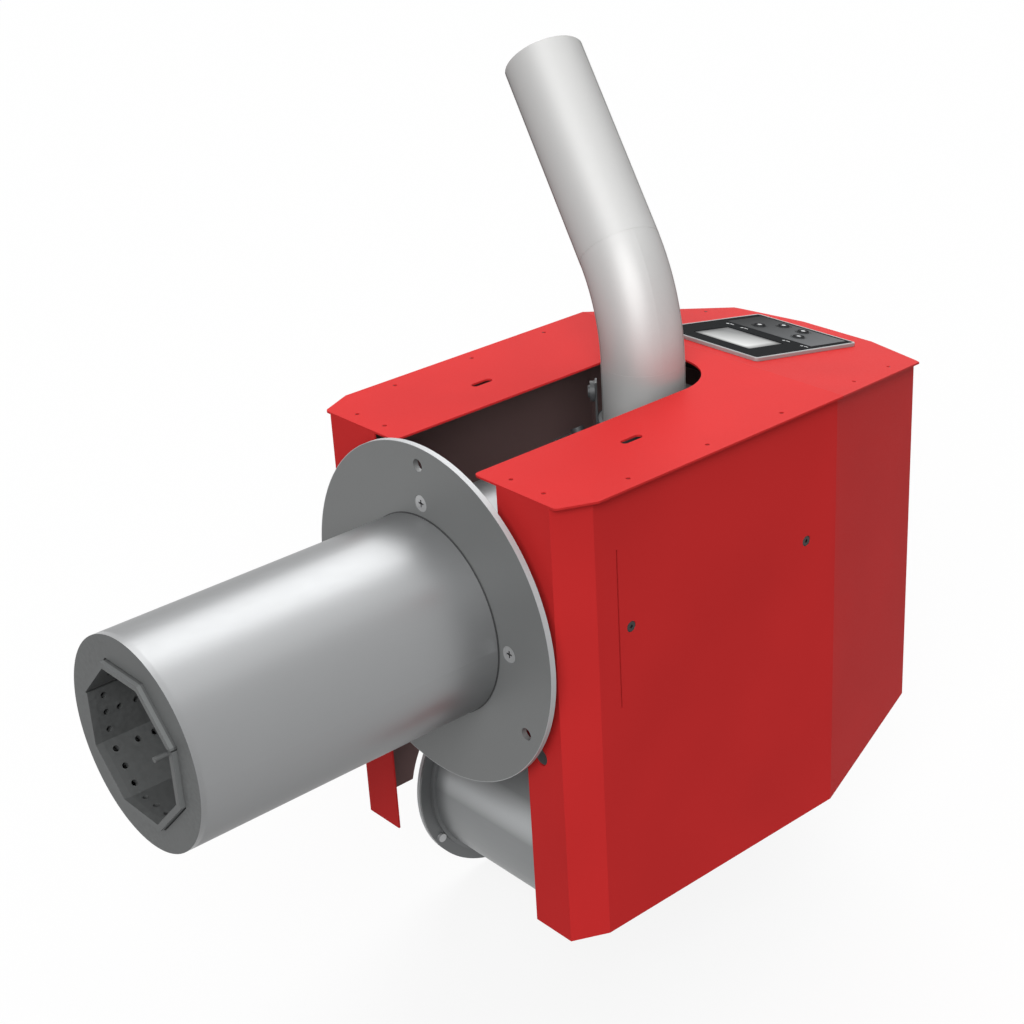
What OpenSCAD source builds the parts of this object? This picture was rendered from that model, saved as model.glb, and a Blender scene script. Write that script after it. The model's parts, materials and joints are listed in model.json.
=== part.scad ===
// Pellet burner for a boiler door: flame tube with pull-out grate, mounting
// flange, feed screw, blower, red sheet cover and a control panel.
// Frame: origin at the centre of the flange's boiler-side face, the flame tube
// points to -Y, +X to the right seen from behind, +Z up. All sizes in mm.

/* [Flame tube and flange] */
// Outer radius of the flame tube
tube_r = 72; // [60:0.5:85]
// Wall of the flame tube and of the rear body
tube_wall = 2.5; // [1.5:0.5:4]
// Length of the flame tube in front of the flange
tube_len = 230; // [150:1:320]
// Thickness of the ring that closes the tube's mouth
end_ring_t = 4; // [2:0.5:8]
// Outer radius of the mounting flange
flange_r = 123; // [110:0.5:140]
// Thickness of the mounting flange
flange_t = 4; // [3:0.5:8]
// Radius of the circle through the boiler bolts
bolt_circle_r = 109.5; // [100:0.5:118]
// Radius of a boiler bolt hole
bolt_hole_r = 4.5; // [3:0.25:6]
// Number of boiler bolts
bolt_count = 3; // [3:1:6]
// Distance from the tube to the countersunk flange screws
csk_margin = 10; // [8:0.5:14]
// Radius of a countersunk screw head
csk_head_r = 5.8; // [4:0.1:7]
// Radius of a flange screw's shank
csk_shank_r = 3; // [2:0.1:4]

/* [Grate insert] */
// Distance from the axis to a flat of the octagonal mouth
mouth_flat = 52.3; // [45:0.1:60]
// Play between the mouth and the insert
mouth_play = 1; // [0.3:0.1:3]
// Sheet thickness of the insert
grate_t = 4; // [2:0.5:6]
// How far the upper shell stands out of the mouth
upper_proud = 1.5; // [0:0.1:6]
// How far the lower shell stays behind the mouth
lower_recess = 1.5; // [0:0.1:8]
// Height at which the two shells meet
shell_split_z = 19.5; // [5:0.5:22]
// Gap between the two shells
shell_gap = 1.2; // [0.3:0.1:3]
// Radius of an air hole
air_hole_r = 2.1; // [1:0.1:4]
// Spacing of the air holes across a flat
air_hole_step = 12.4; // [8:0.1:16]
// Spacing of the rows of air holes along the insert
air_row_step = 12; // [8:0.5:30]
// Rear end of the insert, behind the flange's front face is positive
insert_rear_y = -9; // [-30:0.5:-8.5]
// Length of the pull rod in front of the lower shell
tab_len = 14; // [5:0.5:25]
// Radius of the pull rod
tab_r = 1.8; // [1:0.1:3]
// Height of the pull rod above the tube's axis
tab_z = 15.2; // [10:0.1:16]

/* [Body behind the flange] */
// Rear end of the body tube
body_rear_y = 250; // [230:1:280]
// Thickness of the rings at both ends of the body
ring_t = 8; // [5:0.5:12]
// How far the rings at both ends of the body stand out from it
ring_w = 18; // [15:0.5:22]
// How much slimmer the body is than the flame tube
body_step = 1; // [0.5:0.1:1.5]
// Thickness of the back plate
back_t = 3; // [2:0.5:6]
// Feed tube's outer radius
feed_r = 26; // [20:0.5:30]
// Feed tube's wall
feed_wall = 2; // [1:0.5:4]
// Height of the feed tube's axis
feed_z = -12; // [-16:0.5:0]
// Feed screw's shaft radius
shaft_r = 6; // [4:0.5:9]
// Feed screw's blade radius
blade_r = 22.5; // [18:0.5:23]
// Feed screw's pitch
blade_pitch = 40; // [25:1:60]
// Blade thickness along the shaft
blade_t = 3; // [2:0.5:5]
// Igniter tube's outer radius
igniter_r = 7; // [5:0.5:8]
// Sight tube's outer radius
sight_r = 6; // [4:0.5:7]

/* [Feed pipe] */
// Outer radius of the feed pipe
pipe_r = 30; // [25:0.5:31]
// Wall of the feed pipe
pipe_wall = 1.5; // [1:0.25:3]
// Distance of the inlet's axis behind the flange's front face
inlet_y = 206; // [190:0.5:215]
// Lean of the upper pipe from the vertical
lean_deg = 44; // [10:1:60]
// Direction of the lean, measured from +X
lean_dir = 164; // [90:1:270]
// Height at which the two straight axes would meet
bend_z = 165.6; // [150:0.1:200]
// Radius of the bend's centre line
bend_r = 110; // [60:1:120]
// Length from that meeting point to the open end
pipe_top_len = 202.6; // [120:0.1:260]
// Height of the pipe's lower end
pipe_foot_z = 52; // [48:0.5:60]
// Top of the inlet socket
socket_top_z = 80; // [76:0.5:90]
// Height of the sensor on the feed pipe
sensor_z = 100.5; // [95:0.5:103]
// Wall of the inlet socket
socket_wall = 2.7; // [1.5:0.1:4]
// Play between the pipe and its socket
pipe_play = 0.3; // [0.2:0.05:0.6]

/* [Blower] */
// Distance of the blower's axis behind the flange's front face
blower_y = 151.2; // [145:0.1:156]
// Height of the blower's axis
blower_z = -240; // [-244:0.5:-234]
// Outer radius of the blower drum
drum_r = 74; // [70:0.5:76]
// Wall of the blower drum
drum_wall = 2; // [1:0.5:4]
// Left end of the drum's rim disc
drum_left_x = -121; // [-123:0.5:-110]
// Right end of the drum
drum_right_x = 20; // [17:1:50]
// Radius of the rim disc and of the end cover
disc_r = 86.4; // [84:0.1:90]
// Radius of the circle through the end cover screws
disc_screw_r = 80.8; // [79:0.1:83]
// Radius of the impeller
impeller_r = 62; // [50:0.5:70]
// Number of impeller blades
impeller_blades = 28; // [12:2:40]
// Radius of the blower motor
motor_r = 34; // [25:0.5:40]
// Distance from the drum's cover to the blower wheel
wheel_gap = 58; // [54:1:66]
// Width of the blower wheel
wheel_w = 54; // [40:1:60]
// Width of the wheel's front ring
wheel_lip = 14; // [8:1:20]
// Radius of the intake grille
grille_r = 54; // [50:1:60]

/* [Sheet cover] */
// Thickness of the cover's sheets
sheet = 1.5; // [1:0.1:3]
// Height of the top plate's upper face
top_z = 111.6; // [106:0.1:125]
// Height of the side panels' lower edge
foot_z = -219; // [-225:0.5:-180]
// Front face of the cover
front_y = 13; // [12.5:0.1:20]
// Half the width over the front strips
front_half = 114; // [108:0.1:118]
// Half the width over the side panels
side_half = 126; // [124.5:0.1:130]
// Depth of the front tapers
front_taper = 25.5; // [10:0.5:40]
// Where the sides and the top start to taper and fall to the rear
bend_y = 269; // [262:0.5:290]
// Half the width at the side panels' rear edge
rear_half = 88.5; // [80:0.1:100]
// Rear edge of the side panels
rear_y = 399.8; // [390:0.1:410]
// Fall of the top plate's rear part
slope_deg = 10; // [4:0.5:14]
// Rise of the lower edge towards the rear
foot_rise_deg = 9.1; // [0:0.1:14]
// Overhang of the top plate over the panels
overhang = 5.4; // [2:0.1:8]
// Half the width of the slot for the feed pipe
slot_half = 41.3; // [38:0.1:46]
// Inner edge of the front strips above the flange
strip_top_x = 63.8; // [55:0.1:75]
// Inner edge of the front strips below the flange
strip_low_x = 78.7; // [70:0.1:90]
// Radius of the cut-out in the front strips round the body
strip_arc_r = 96; // [93:0.5:105]
// Radius of the arch in the left panel round the blower disc
arch_r = 91; // [88:0.1:96]
// Width of the lips under the top plate
lip_w = 18; // [12:0.5:24]
// Radius of the top plate's front corners
corner_r = 4; // [1:0.5:8]
// Distance of the first side screw behind the flange's front face
side_screw_y = 68.2; // [60:0.1:80]
// Spacing of the two side screws
side_screw_step = 170.2; // [150:0.1:180]
// Height of the side screws
side_screw_z = 10; // [5:0.5:20]

/* [Control panel] */
// Left edge of the control panel
panel_x = -60.5; // [-70:0.5:-40]
// Width of the control panel
panel_w = 99.2; // [80:0.1:110]
// Distance of its front edge from the bend, along the slope
panel_v = 13.4; // [10:0.1:20]
// Depth of the control panel along the slope
panel_d = 111.9; // [90:0.1:114]
// Thickness of the control panel
panel_t = 2.5; // [1.5:0.1:5]
// Radius of a button
button_r = 4.6; // [3:0.1:6]
// Travel of a button
button_travel = 0.8; // [0.4:0.1:1.5]
// Height of a button over the panel
button_proud = 0.9; // [0.9:0.1:2]

/* [Hidden] */
// Small gap between fixed pieces that touch
fit = 0.05;
// Gap between pieces that slide or turn in one another
run = 0.3;
// Step between the skins of the pipe's bend and of its straight lengths
skin_step = 0.12;
// How far the straight lengths reach over the bend's ends
overlap = 0.6;
tube_ri = tube_r - tube_wall;
body_r = tube_r - body_step;
ring_r = tube_r + ring_w;
csk_circle_r = tube_r + csk_margin;
mouth_y = -tube_len;
insert_flat = mouth_flat - mouth_play;
insert_in = insert_flat - grate_t;
inlet_ri = pipe_r + pipe_play;
inlet_ro = inlet_ri + socket_wall;
feed_ri = feed_r - feed_wall;
cone_top_z = pipe_foot_z - 2;
cone_low_z = 20;
cone_low_ri = 18;
ring_front_y = flange_t;
body_front_y = ring_front_y + ring_t / 2;
back_y = body_rear_y;
igniter_x = 34;
igniter_z = -18;
sight_x = -34;
sight_z = -12;
back_screw_r = (tube_r + ring_r) / 2;
duct_x0 = -40;
duct_x1 = 16;
duct_half = 28;
duct_wall = 1.5;
gear_half = 25;
gear_len = 50;
gear_y = back_y + back_t;
feed_motor_r = 22;
feed_motor_len = 65;
cover_t = 3;
slope_cut = tan(slope_deg);
rise_cut = tan(foot_rise_deg);
far_y = 450;
switch_z = -2.9;
board_z = -6.5;
board_t = 1.6;
tray_z = -22;
tray_wall = 2;
tray_x0 = panel_x + 4;
tray_x1 = panel_x + panel_w - 4;
tray_v0 = panel_v + 5;
tray_v1 = panel_v + panel_d - 4;
lcd_x0 = panel_x + 0.20 * panel_w;
lcd_x1 = panel_x + 0.77 * panel_w;
lcd_v0 = panel_v + 0.15 * panel_d;
lcd_v1 = panel_v + 0.49 * panel_d;
pad_x0 = panel_x + 0.07 * panel_w;
pad_x1 = panel_x + 0.93 * panel_w;
pad_v0 = panel_v + 0.61 * panel_d;
pad_v1 = panel_v + 0.965 * panel_d;
led_v = panel_v + 0.565 * panel_d;
led_us = [0.12, 0.27, 0.70, 0.88];
button_us = [0.285, 0.385, 0.585, 0.685];
button_vs = [0.73, 0.88, 0.88, 0.73];
rivet_ys = [75, 146.8, 218.5];
rivet_x = 120;
rivet_r = 1.5;
slope_rivets = [[108.6, 38.7], [92.1, 98]];
front_rivets = [65.9, 97];
front_rivet_y = 23.9;
side_screw_ys = [side_screw_y, side_screw_y + side_screw_step];
side_screw_head_r = 3.6;
oct_in = [for (i = [0:7]) 22.5 + 45 * i];
$fn = 72;

// Which piece to show

/* Helpers */
function right_n(a, b) = [b.y - a.y, a.x - b.x] / norm(b - a);
function mitre(a, b, c, t) =
    let(n1 = right_n(a, b), n2 = right_n(b, c)) b - t * (n1 + n2) / (1 + n1 * n2);
function side_line(p, t) = [for (i = [0:len(p) - 1])
    i == 0 ? p[0] - t * right_n(p[0], p[1])
    : i == len(p) - 1 ? p[i] - t * right_n(p[i - 1], p[i])
    : mitre(p[i - 1], p[i], p[i + 1], t)];
function flip(p) = [for (i = [len(p) - 1:-1:0]) p[i]];
function band(p, a, b) = concat(side_line(p, a), flip(side_line(p, b)));
function mirrored(p) = [for (q = flip(p)) [-q.x, q.y]];

module along_y(y0, y1, r) {
    translate([0, y1, 0]) rotate([90, 0, 0]) cylinder(h = y1 - y0, r = r);
}

module along_x(x0, x1, r) {
    translate([x0, 0, 0]) rotate([0, 90, 0]) cylinder(h = x1 - x0, r = r);
}

module pipe_y(y0, y1, ro, ri) {
    difference() {
        along_y(y0, y1, ro);
        along_y(y0 - 1, y1 + 1, ri);
    }
}

module octagon(flat) {
    polygon([for (a = oct_in) flat / cos(22.5) * [cos(a), sin(a)]]);
}

module octagon_y(y0, y1, flat) {
    translate([0, y1, 0]) rotate([90, 0, 0]) linear_extrude(y1 - y0) octagon(flat);
}

module round_plate(x0, x1, v0, v1, z0, z1, r) {
    translate([0, 0, z0]) linear_extrude(z1 - z0) {
        translate([x0 + r, v0]) square([x1 - x0 - 2 * r, v1 - v0]);
        translate([x0, v0 + r]) square([x1 - x0, v1 - v0 - 2 * r]);
        for (x = [x0 + r, x1 - r], v = [v0 + r, v1 - r]) translate([x, v]) circle(r);
    }
}

module on_slope() {
    translate([0, bend_y, top_z]) rotate([-slope_deg, 0, 0]) children();
}

/* Flame tube */
module burner_tube() color([0.62, 0.63, 0.64]) difference() {
    union() {
        along_y(mouth_y + end_ring_t, -fit, tube_r);
        along_y(-end_ring_t, body_front_y, body_r);
    }
    along_y(mouth_y, body_front_y + 1, tube_ri);
}

module tube_end_ring() color([0.36, 0.37, 0.37]) difference() {
    along_y(mouth_y, mouth_y + end_ring_t, tube_r);
    octagon_y(mouth_y - 1, mouth_y + end_ring_t + 1, mouth_flat);
}

module shell_ring(y0) {
    difference() {
        octagon_y(y0, insert_rear_y - grate_t, insert_flat);
        octagon_y(y0 - 1, insert_rear_y, insert_in);
    }
}

// Air holes through one flat of the insert, turned to the flat's direction
module air_holes(turn, y0, rows, cols) {
    for (k = [0:rows - 1], c = cols)
        rotate([0, turn, 0]) translate([c * air_hole_step, y0 + k * air_row_step, -insert_flat - 1])
            cylinder(h = grate_t + 2, r = air_hole_r, $fn = 16);
}

module grate_upper() color([0.45, 0.45, 0.44]) difference() {
    shell_ring(mouth_y - upper_proud);
    translate([-tube_r, mouth_y - 9, shell_split_z - tube_r * 2])
        cube([tube_r * 2, tube_len + 9, tube_r * 2]);
    for (turn = [135, 225]) air_holes(turn, mouth_y + 7.5, 1, [0]);
}

module grate_lower() color([0.38, 0.38, 0.37]) union() {
    difference() {
        shell_ring(mouth_y + lower_recess);
        translate([-tube_r, mouth_y - 9, shell_split_z - shell_gap])
            cube([tube_r * 2, tube_len + 9, tube_r * 2]);
        for (turn = [90, 45, 0, -45, -90]) air_holes(turn, mouth_y + 7.5, 1, [-1, 0, 1]);
        for (turn = [90, -90]) air_holes(turn, mouth_y + 17.1, 15, [0]);
        air_holes(45, mouth_y + 23.6, 15, [-1]);
        air_holes(-45, mouth_y + 23.6, 15, [1]);
    }
    translate([insert_in - 1.4, 0, tab_z])
        along_y(mouth_y + lower_recess - tab_len, mouth_y + 2 * tab_len, tab_r);
}

module grate_back() color([0.40, 0.40, 0.39]) difference() {
    octagon_y(insert_rear_y - grate_t + fit, insert_rear_y, insert_flat);
    translate([0, 0, feed_z]) along_y(mouth_y, 0, feed_ri);
    translate([igniter_x, 0, igniter_z]) along_y(mouth_y, 0, igniter_r - 1);
    translate([sight_x, 0, sight_z]) along_y(mouth_y, 0, sight_r - 1);
}

// Two rails that carry the insert inside the tube
module grate_rails() color([0.42, 0.42, 0.42]) intersection() {
    for (x = [-16, 16]) translate([x - 1.5, mouth_y + 25, -tube_r])
        cube([3, tube_len - 50, tube_r - insert_flat - fit]);
    along_y(mouth_y, 0, tube_ri - fit);
}

module tube_bulkhead() color([0.45, 0.46, 0.46]) difference() {
    along_y(-5, -2, tube_ri - fit);
    translate([0, 0, feed_z]) along_y(-9, 9, feed_r + fit);
    translate([igniter_x, 0, igniter_z]) along_y(-9, 9, igniter_r + fit);
    translate([sight_x, 0, sight_z]) along_y(-9, 9, sight_r + fit);
    for (a = [0:30:330]) rotate([0, a + 15, 0]) translate([tube_ri - 9.5, 0, 0]) along_y(-9, 9, 5);
}

/* Flange and body */
module mounting_flange() color([0.44, 0.45, 0.46]) difference() {
    along_y(0, flange_t, flange_r);
    along_y(-1, flange_t + 1, body_r + fit);
    for (i = [0:bolt_count - 1]) rotate([0, -90 + 360 / bolt_count * i, 0])
        translate([bolt_circle_r, 0, 0]) along_y(-1, flange_t + 1, bolt_hole_r);
    for (a = [0:90:270]) rotate([0, a, 0]) translate([csk_circle_r, 0, 0]) {
        along_y(-1, flange_t + 1, csk_shank_r + run);
        rotate([-90, 0, 0]) cylinder(h = csk_head_r - csk_shank_r,
            r1 = csk_head_r + run, r2 = csk_shank_r + run);
    }
}

module front_ring() color([0.47, 0.48, 0.49]) difference() {
    pipe_y(ring_front_y, ring_front_y + ring_t, ring_r, body_r + fit);
    for (a = [0:90:270]) rotate([0, a, 0]) translate([csk_circle_r, 0, 0])
        along_y(0, 20, csk_shank_r + fit);
}

// Countersunk screws with a cross recess
module flange_screws() color([0.70, 0.71, 0.72])
    for (a = [0:90:270]) rotate([0, a, 0]) translate([csk_circle_r, 0, 0]) difference() {
        union() {
            translate([0, 0.3, 0]) rotate([-90, 0, 0]) cylinder(h = csk_head_r - csk_shank_r,
                r1 = csk_head_r, r2 = csk_shank_r);
            along_y(0.4, ring_front_y + ring_t, csk_shank_r);
        }
        for (b = [0, 90]) rotate([0, b, 0]) translate([-2.6, 0, -0.6]) cube([5.2, 1.6, 1.2]);
    }

module rear_body() color([0.66, 0.67, 0.68]) difference() {
    pipe_y(body_front_y + fit, body_rear_y, body_r, tube_ri);
    translate([0, inlet_y, 0]) cylinder(h = tube_r + 5, r = inlet_ro + fit);
    translate([duct_x0 + duct_wall, blower_y - duct_half + duct_wall, -tube_r - 5])
        cube([duct_x1 - duct_x0 - 2 * duct_wall, 2 * (duct_half - duct_wall), tube_r]);
}

module back_circle() {
    for (a = [30:60:330]) rotate([0, a, 0]) translate([back_screw_r, 0, 0]) children();
}

module rear_ring() color([0.47, 0.48, 0.49]) difference() {
    pipe_y(body_rear_y - ring_t, body_rear_y, ring_r, body_r + fit);
    back_circle() along_y(body_rear_y - ring_t - 1, body_rear_y + 1, 2.5 + fit);
}

module back_plate() color([0.50, 0.51, 0.52]) difference() {
    along_y(back_y, back_y + back_t, ring_r);
    back_circle() along_y(back_y - 1, back_y + back_t + 1, 2.7);
    translate([0, 0, feed_z]) along_y(back_y - 1, back_y + back_t + 1, shaft_r + 4 + fit);
    translate([igniter_x, 0, igniter_z]) along_y(back_y - 1, back_y + back_t + 1, igniter_r - 1);
    translate([sight_x, 0, sight_z]) along_y(back_y - 1, back_y + back_t + 1, sight_r - 1);
}

module back_screws() color([0.72, 0.73, 0.74]) back_circle() {
    along_y(back_y + back_t, back_y + back_t + 3.5, 4.5);
    along_y(body_rear_y - ring_t, back_y + back_t + 1, 2.5);
}

/* Feed screw */
module feed_tube() color([0.55, 0.56, 0.57]) difference() {
    translate([0, 0, feed_z]) pipe_y(-8, body_rear_y - fit, feed_r, feed_ri);
    translate([0, inlet_y, feed_z]) cylinder(h = feed_r + 5, r = cone_low_ri);
}

// One helical blade: four points per step, swept round the shaft
function blade_pts(n, step) = [for (i = [0:n]) let(a = i * step, y = -3 + blade_pitch * a / 360)
    each [for (q = [[shaft_r - 1, 0], [blade_r, 0], [blade_r, blade_t], [shaft_r - 1, blade_t]])
        [q[0] * cos(a), y + q[1], q[0] * sin(a)]]];
function blade_faces(n) = concat([[0, 1, 2, 3]], [[4 * n + 3, 4 * n + 2, 4 * n + 1, 4 * n]],
    [for (i = [0:n - 1], k = [0:3]) let(a = 4 * i + k, b = 4 * i + (k + 1) % 4)
        each [[a, a + 4, b + 4], [a, b + 4, b]]]);

module feed_screw() color([0.60, 0.61, 0.62]) translate([0, 0, feed_z]) {
    steps = floor(5.8 * 24);
    polyhedron(blade_pts(steps, 15), blade_faces(steps), 6);
    along_y(-6, gear_y + 22, shaft_r, $fn = 36);
}

module screw_bush() color([0.72, 0.60, 0.36]) translate([0, 0, feed_z])
    pipe_y(back_y - 8, back_y + back_t - 0.2, shaft_r + 4, shaft_r + 0.1);

module gearbox() color([0.30, 0.31, 0.33]) difference() {
    translate([-gear_half, gear_y, feed_z - 38]) cube([2 * gear_half, gear_len, 70]);
    translate([0, 0, feed_z]) along_y(gear_y - 1, gear_y + 25, shaft_r + run);
}

module feed_motor() color([0.22, 0.23, 0.25]) translate([0, 0, feed_z - 10]) {
    along_y(gear_y + gear_len, gear_y + gear_len + feed_motor_len, feed_motor_r);
    along_y(gear_y + gear_len + feed_motor_len, gear_y + gear_len + feed_motor_len + 5, 12);
}

/* Inlet and feed pipe */
module inlet_socket() color([0.58, 0.59, 0.60]) difference() {
    translate([0, inlet_y, 0]) rotate_extrude() polygon([
        [cone_low_ri, feed_z + 8], [cone_low_ri + 2, feed_z + 8], [cone_low_ri + 2, cone_low_z],
        [inlet_ro, cone_top_z], [inlet_ro, socket_top_z], [inlet_ri, socket_top_z],
        [inlet_ri, cone_top_z + 1], [pipe_r - pipe_wall, cone_top_z - 1], [cone_low_ri, cone_low_z]]);
    translate([0, 0, feed_z]) along_y(inlet_y - 60, inlet_y + 60, feed_r + fit);
}

module pipe_ring(step) {
    difference() {
        circle(pipe_r - step);
        circle(pipe_r - pipe_wall + step);
    }
}

// Vertical foot, bend and leaning length; the bend is a hair thinner, so no two skins touch
module feed_pipe() color([0.74, 0.75, 0.76])
    translate([0, inlet_y, 0]) rotate([0, 0, lean_dir]) {
        tangent = bend_r * tan(lean_deg / 2);
        translate([0, 0, pipe_foot_z]) linear_extrude(bend_z - tangent - pipe_foot_z + overlap) pipe_ring(0);
        translate([bend_r, 0, bend_z - tangent]) rotate([90, 0, 0]) rotate([0, 0, 180 - lean_deg])
            rotate_extrude(angle = lean_deg) translate([bend_r, 0]) pipe_ring(skin_step);
        translate([0, 0, bend_z]) rotate([0, lean_deg, 0]) translate([0, 0, tangent - overlap])
            linear_extrude(pipe_top_len - tangent + overlap) pipe_ring(0);
    }

clamp_h = 8;
clamp_z = body_r + 0.5;
clamp_dir = 150;
sensor_dir = 226;
// The clamp's upright tongue carries the sensor beside the pipe
module pipe_clamp() color([0.68, 0.69, 0.70]) translate([0, inlet_y, clamp_z]) {
    rotate([0, 0, sensor_dir]) translate([inlet_ro + 0.2, -5, 0]) cube([1.5, 10, sensor_z - clamp_z + 8]);
    rotate([0, 0, clamp_dir]) difference() {
        union() {
            cylinder(h = clamp_h, r = inlet_ro + 1.5);
            translate([inlet_ro - 1, -5, 0]) cube([12, 10, clamp_h]);
        }
        translate([0, 0, -1]) cylinder(h = 14, r = inlet_ro + fit);
        translate([0, -1.5, -1]) cube([inlet_ro + 20, 3, 14]);
        translate([inlet_ro + 6.5, 10, clamp_h / 2]) rotate([90, 0, 0]) cylinder(h = 20, r = 2.2);
    }
}

module pipe_sensor() color([0.30, 0.31, 0.32]) translate([0, inlet_y, sensor_z]) rotate([0, 0, sensor_dir])
    translate([inlet_ro + 1.7 + fit, 0, 0]) rotate([0, 90, 0]) {
        cylinder(h = 3.5, r = 7.5);
        cylinder(h = 5, r = 4.5);
    }

module clamp_screw() color([0.75, 0.76, 0.77]) translate([0, inlet_y, clamp_z]) rotate([0, 0, clamp_dir])
    translate([inlet_ro + 6.5, 0, clamp_h / 2]) rotate([90, 0, 0]) {
        translate([0, 0, -9]) cylinder(h = 17, r = 2);
        translate([0, 0, 5]) cylinder(h = 3.5, r = 3.8);
        translate([0, 0, -8.2]) cylinder(h = 3.2, r = 3.8);
    }

/* Ignition and sensors */
module igniter_tube() color([0.52, 0.53, 0.54]) translate([igniter_x, 0, igniter_z])
    pipe_y(-8, body_rear_y - fit, igniter_r, igniter_r - 1);

module igniter() color([0.86, 0.84, 0.80]) translate([igniter_x, 0, igniter_z]) {
    along_y(4, back_y + back_t, igniter_r - 1 - run);
    along_y(back_y + back_t, back_y + back_t + 14, igniter_r + 1);
}

module sight_tube() color([0.52, 0.53, 0.54]) translate([sight_x, 0, sight_z])
    pipe_y(-8, body_rear_y - fit, sight_r, sight_r - 1);

module flame_sensor() color([0.16, 0.16, 0.17]) translate([sight_x, 0, sight_z]) {
    along_y(back_y - 20, back_y + back_t, sight_r - 1 - run);
    along_y(back_y + back_t, back_y + back_t + 22, sight_r + 2);
}

module backfire_sensor() color([0.80, 0.80, 0.78]) translate([0, inlet_y - 32, 0]) rotate([0, -28, 0])
    translate([0, 0, body_r + fit]) {
        cylinder(h = 5, r = 8);
        translate([0, 0, 5]) cylinder(h = 4, r = 5);
    }

/* Blower */
module at_blower() {
    translate([0, blower_y, blower_z]) children();
}

module air_duct() color([0.50, 0.51, 0.52]) difference() {
    translate([duct_x0, blower_y - duct_half, blower_z + drum_r / 2])
        cube([duct_x1 - duct_x0, 2 * duct_half, -blower_z - drum_r / 2 - tube_r / 2]);
    translate([duct_x0 + duct_wall, blower_y - duct_half + duct_wall, blower_z])
        cube([duct_x1 - duct_x0 - 2 * duct_wall, 2 * (duct_half - duct_wall), -blower_z]);
    at_blower() along_x(duct_x0 - 1, duct_x1 + 1, drum_r + fit);
    along_y(blower_y - 50, blower_y + 50, body_r + fit);
}

module blower_drum() color([0.60, 0.61, 0.62]) difference() {
    at_blower() difference() {
        union() {
            along_x(drum_left_x, drum_right_x, drum_r);
            along_x(drum_left_x, drum_left_x + 2, disc_r);
            along_x(drum_left_x, drum_left_x + 6, drum_r + 3);
        }
        along_x(drum_left_x - 1, drum_right_x - drum_wall, drum_r - drum_wall);
        along_x(0, drum_right_x + 1, 42);
        for (a = [30:60:330]) rotate([a, 0, 0]) translate([0, disc_screw_r, 0])
            along_x(drum_left_x - 1, drum_left_x + 3, 2.6);
        for (a = [0:90:270]) rotate([a + 45, 0, 0]) translate([0, 50, 0])
            along_x(0, drum_right_x + 1, 1.7);
    }
    translate([duct_x0 + duct_wall, blower_y - duct_half + duct_wall, blower_z + drum_r / 2])
        cube([duct_x1 - duct_x0 - 2 * duct_wall, 2 * (duct_half - duct_wall), drum_r]);
}

module blower_cover() color([0.55, 0.56, 0.57]) at_blower() difference() {
    along_x(drum_left_x - cover_t, drum_left_x, disc_r);
    for (a = [30:60:330]) rotate([a, 0, 0]) translate([0, disc_screw_r, 0])
        along_x(drum_left_x - cover_t - 1, drum_left_x + 1, 2.6);
    for (a = [0:45:315]) rotate([a, 0, 0]) translate([0, 22, 0])
        along_x(drum_left_x - cover_t - 1, drum_left_x + 1, 4);
}

module blower_screws() color([0.70, 0.71, 0.72]) at_blower()
    for (a = [30:60:330]) rotate([a, 0, 0]) translate([0, disc_screw_r, 0]) {
        along_x(drum_left_x + 2, drum_left_x + 4.5, 3.6);
        along_x(drum_left_x - cover_t - 2.5, drum_left_x + 3, 2.4);
        along_x(drum_left_x - cover_t - 2.4, drum_left_x - cover_t, 4, $fn = 6);
    }

module blower_motor() color([0.20, 0.21, 0.23]) at_blower() difference() {
    union() {
        along_x(drum_left_x, drum_left_x + 3, motor_r + 8);
        along_x(drum_left_x, drum_left_x + 52, motor_r);
    }
    along_x(drum_left_x + 20, drum_left_x + 60, 4 + run);
    for (a = [0:45:315]) rotate([a, 0, 0]) translate([0, 22, 0])
        along_x(drum_left_x - 1, drum_left_x + 8, 4);
}

impeller_x = drum_left_x + wheel_gap;
module impeller() color([0.68, 0.69, 0.70]) at_blower() {
    along_x(drum_left_x + 24, impeller_x + 18, 4);
    along_x(impeller_x, impeller_x + 16, 12);
    along_x(impeller_x, impeller_x + 2, impeller_r);
    difference() {
        along_x(impeller_x + wheel_w, impeller_x + wheel_w + 2, impeller_r);
        along_x(impeller_x + wheel_w - 1, impeller_x + wheel_w + 3, impeller_r - wheel_lip);
    }
    for (i = [0:impeller_blades - 1]) rotate([i * 360 / impeller_blades, 0, 0])
        translate([impeller_x + 1, impeller_r - wheel_lip + 1, -0.6]) rotate([20, 0, 0])
            cube([wheel_w, wheel_lip - 2, 1.2]);
}

module intake_grille() color([0.30, 0.31, 0.32]) at_blower() difference() {
    along_x(drum_right_x, drum_right_x + 2, grille_r);
    for (r = [12, 24, 36], a = [0:360 / r * 2:359]) rotate([a, 0, 0]) translate([0, r, 0])
        along_x(drum_right_x - 1, drum_right_x + 3, 4);
    for (a = [0:90:270]) rotate([a + 45, 0, 0]) translate([0, grille_r - 4, 0])
        along_x(drum_right_x - 1, drum_right_x + 3, 1.7);
}

/* Sheet cover */
side_plan = [[front_half, front_y], [side_half, front_y + front_taper],
    [side_half, bend_y], [rear_half, rear_y]];
top_line = [[front_y, top_z], [bend_y, top_z], [far_y, top_z - (far_y - bend_y) * slope_cut]];
foot_line = [[front_y - 9, foot_z], [bend_y, foot_z], [far_y, foot_z + (far_y - bend_y) * rise_cut]];

// Solid between two depths under the top plate's upper face
module under_top(a, b) {
    rotate([90, 0, 90]) translate([0, 0, -side_half - 20]) linear_extrude(2 * side_half + 40)
        polygon(band(flip(top_line), a, b));
}

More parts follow.
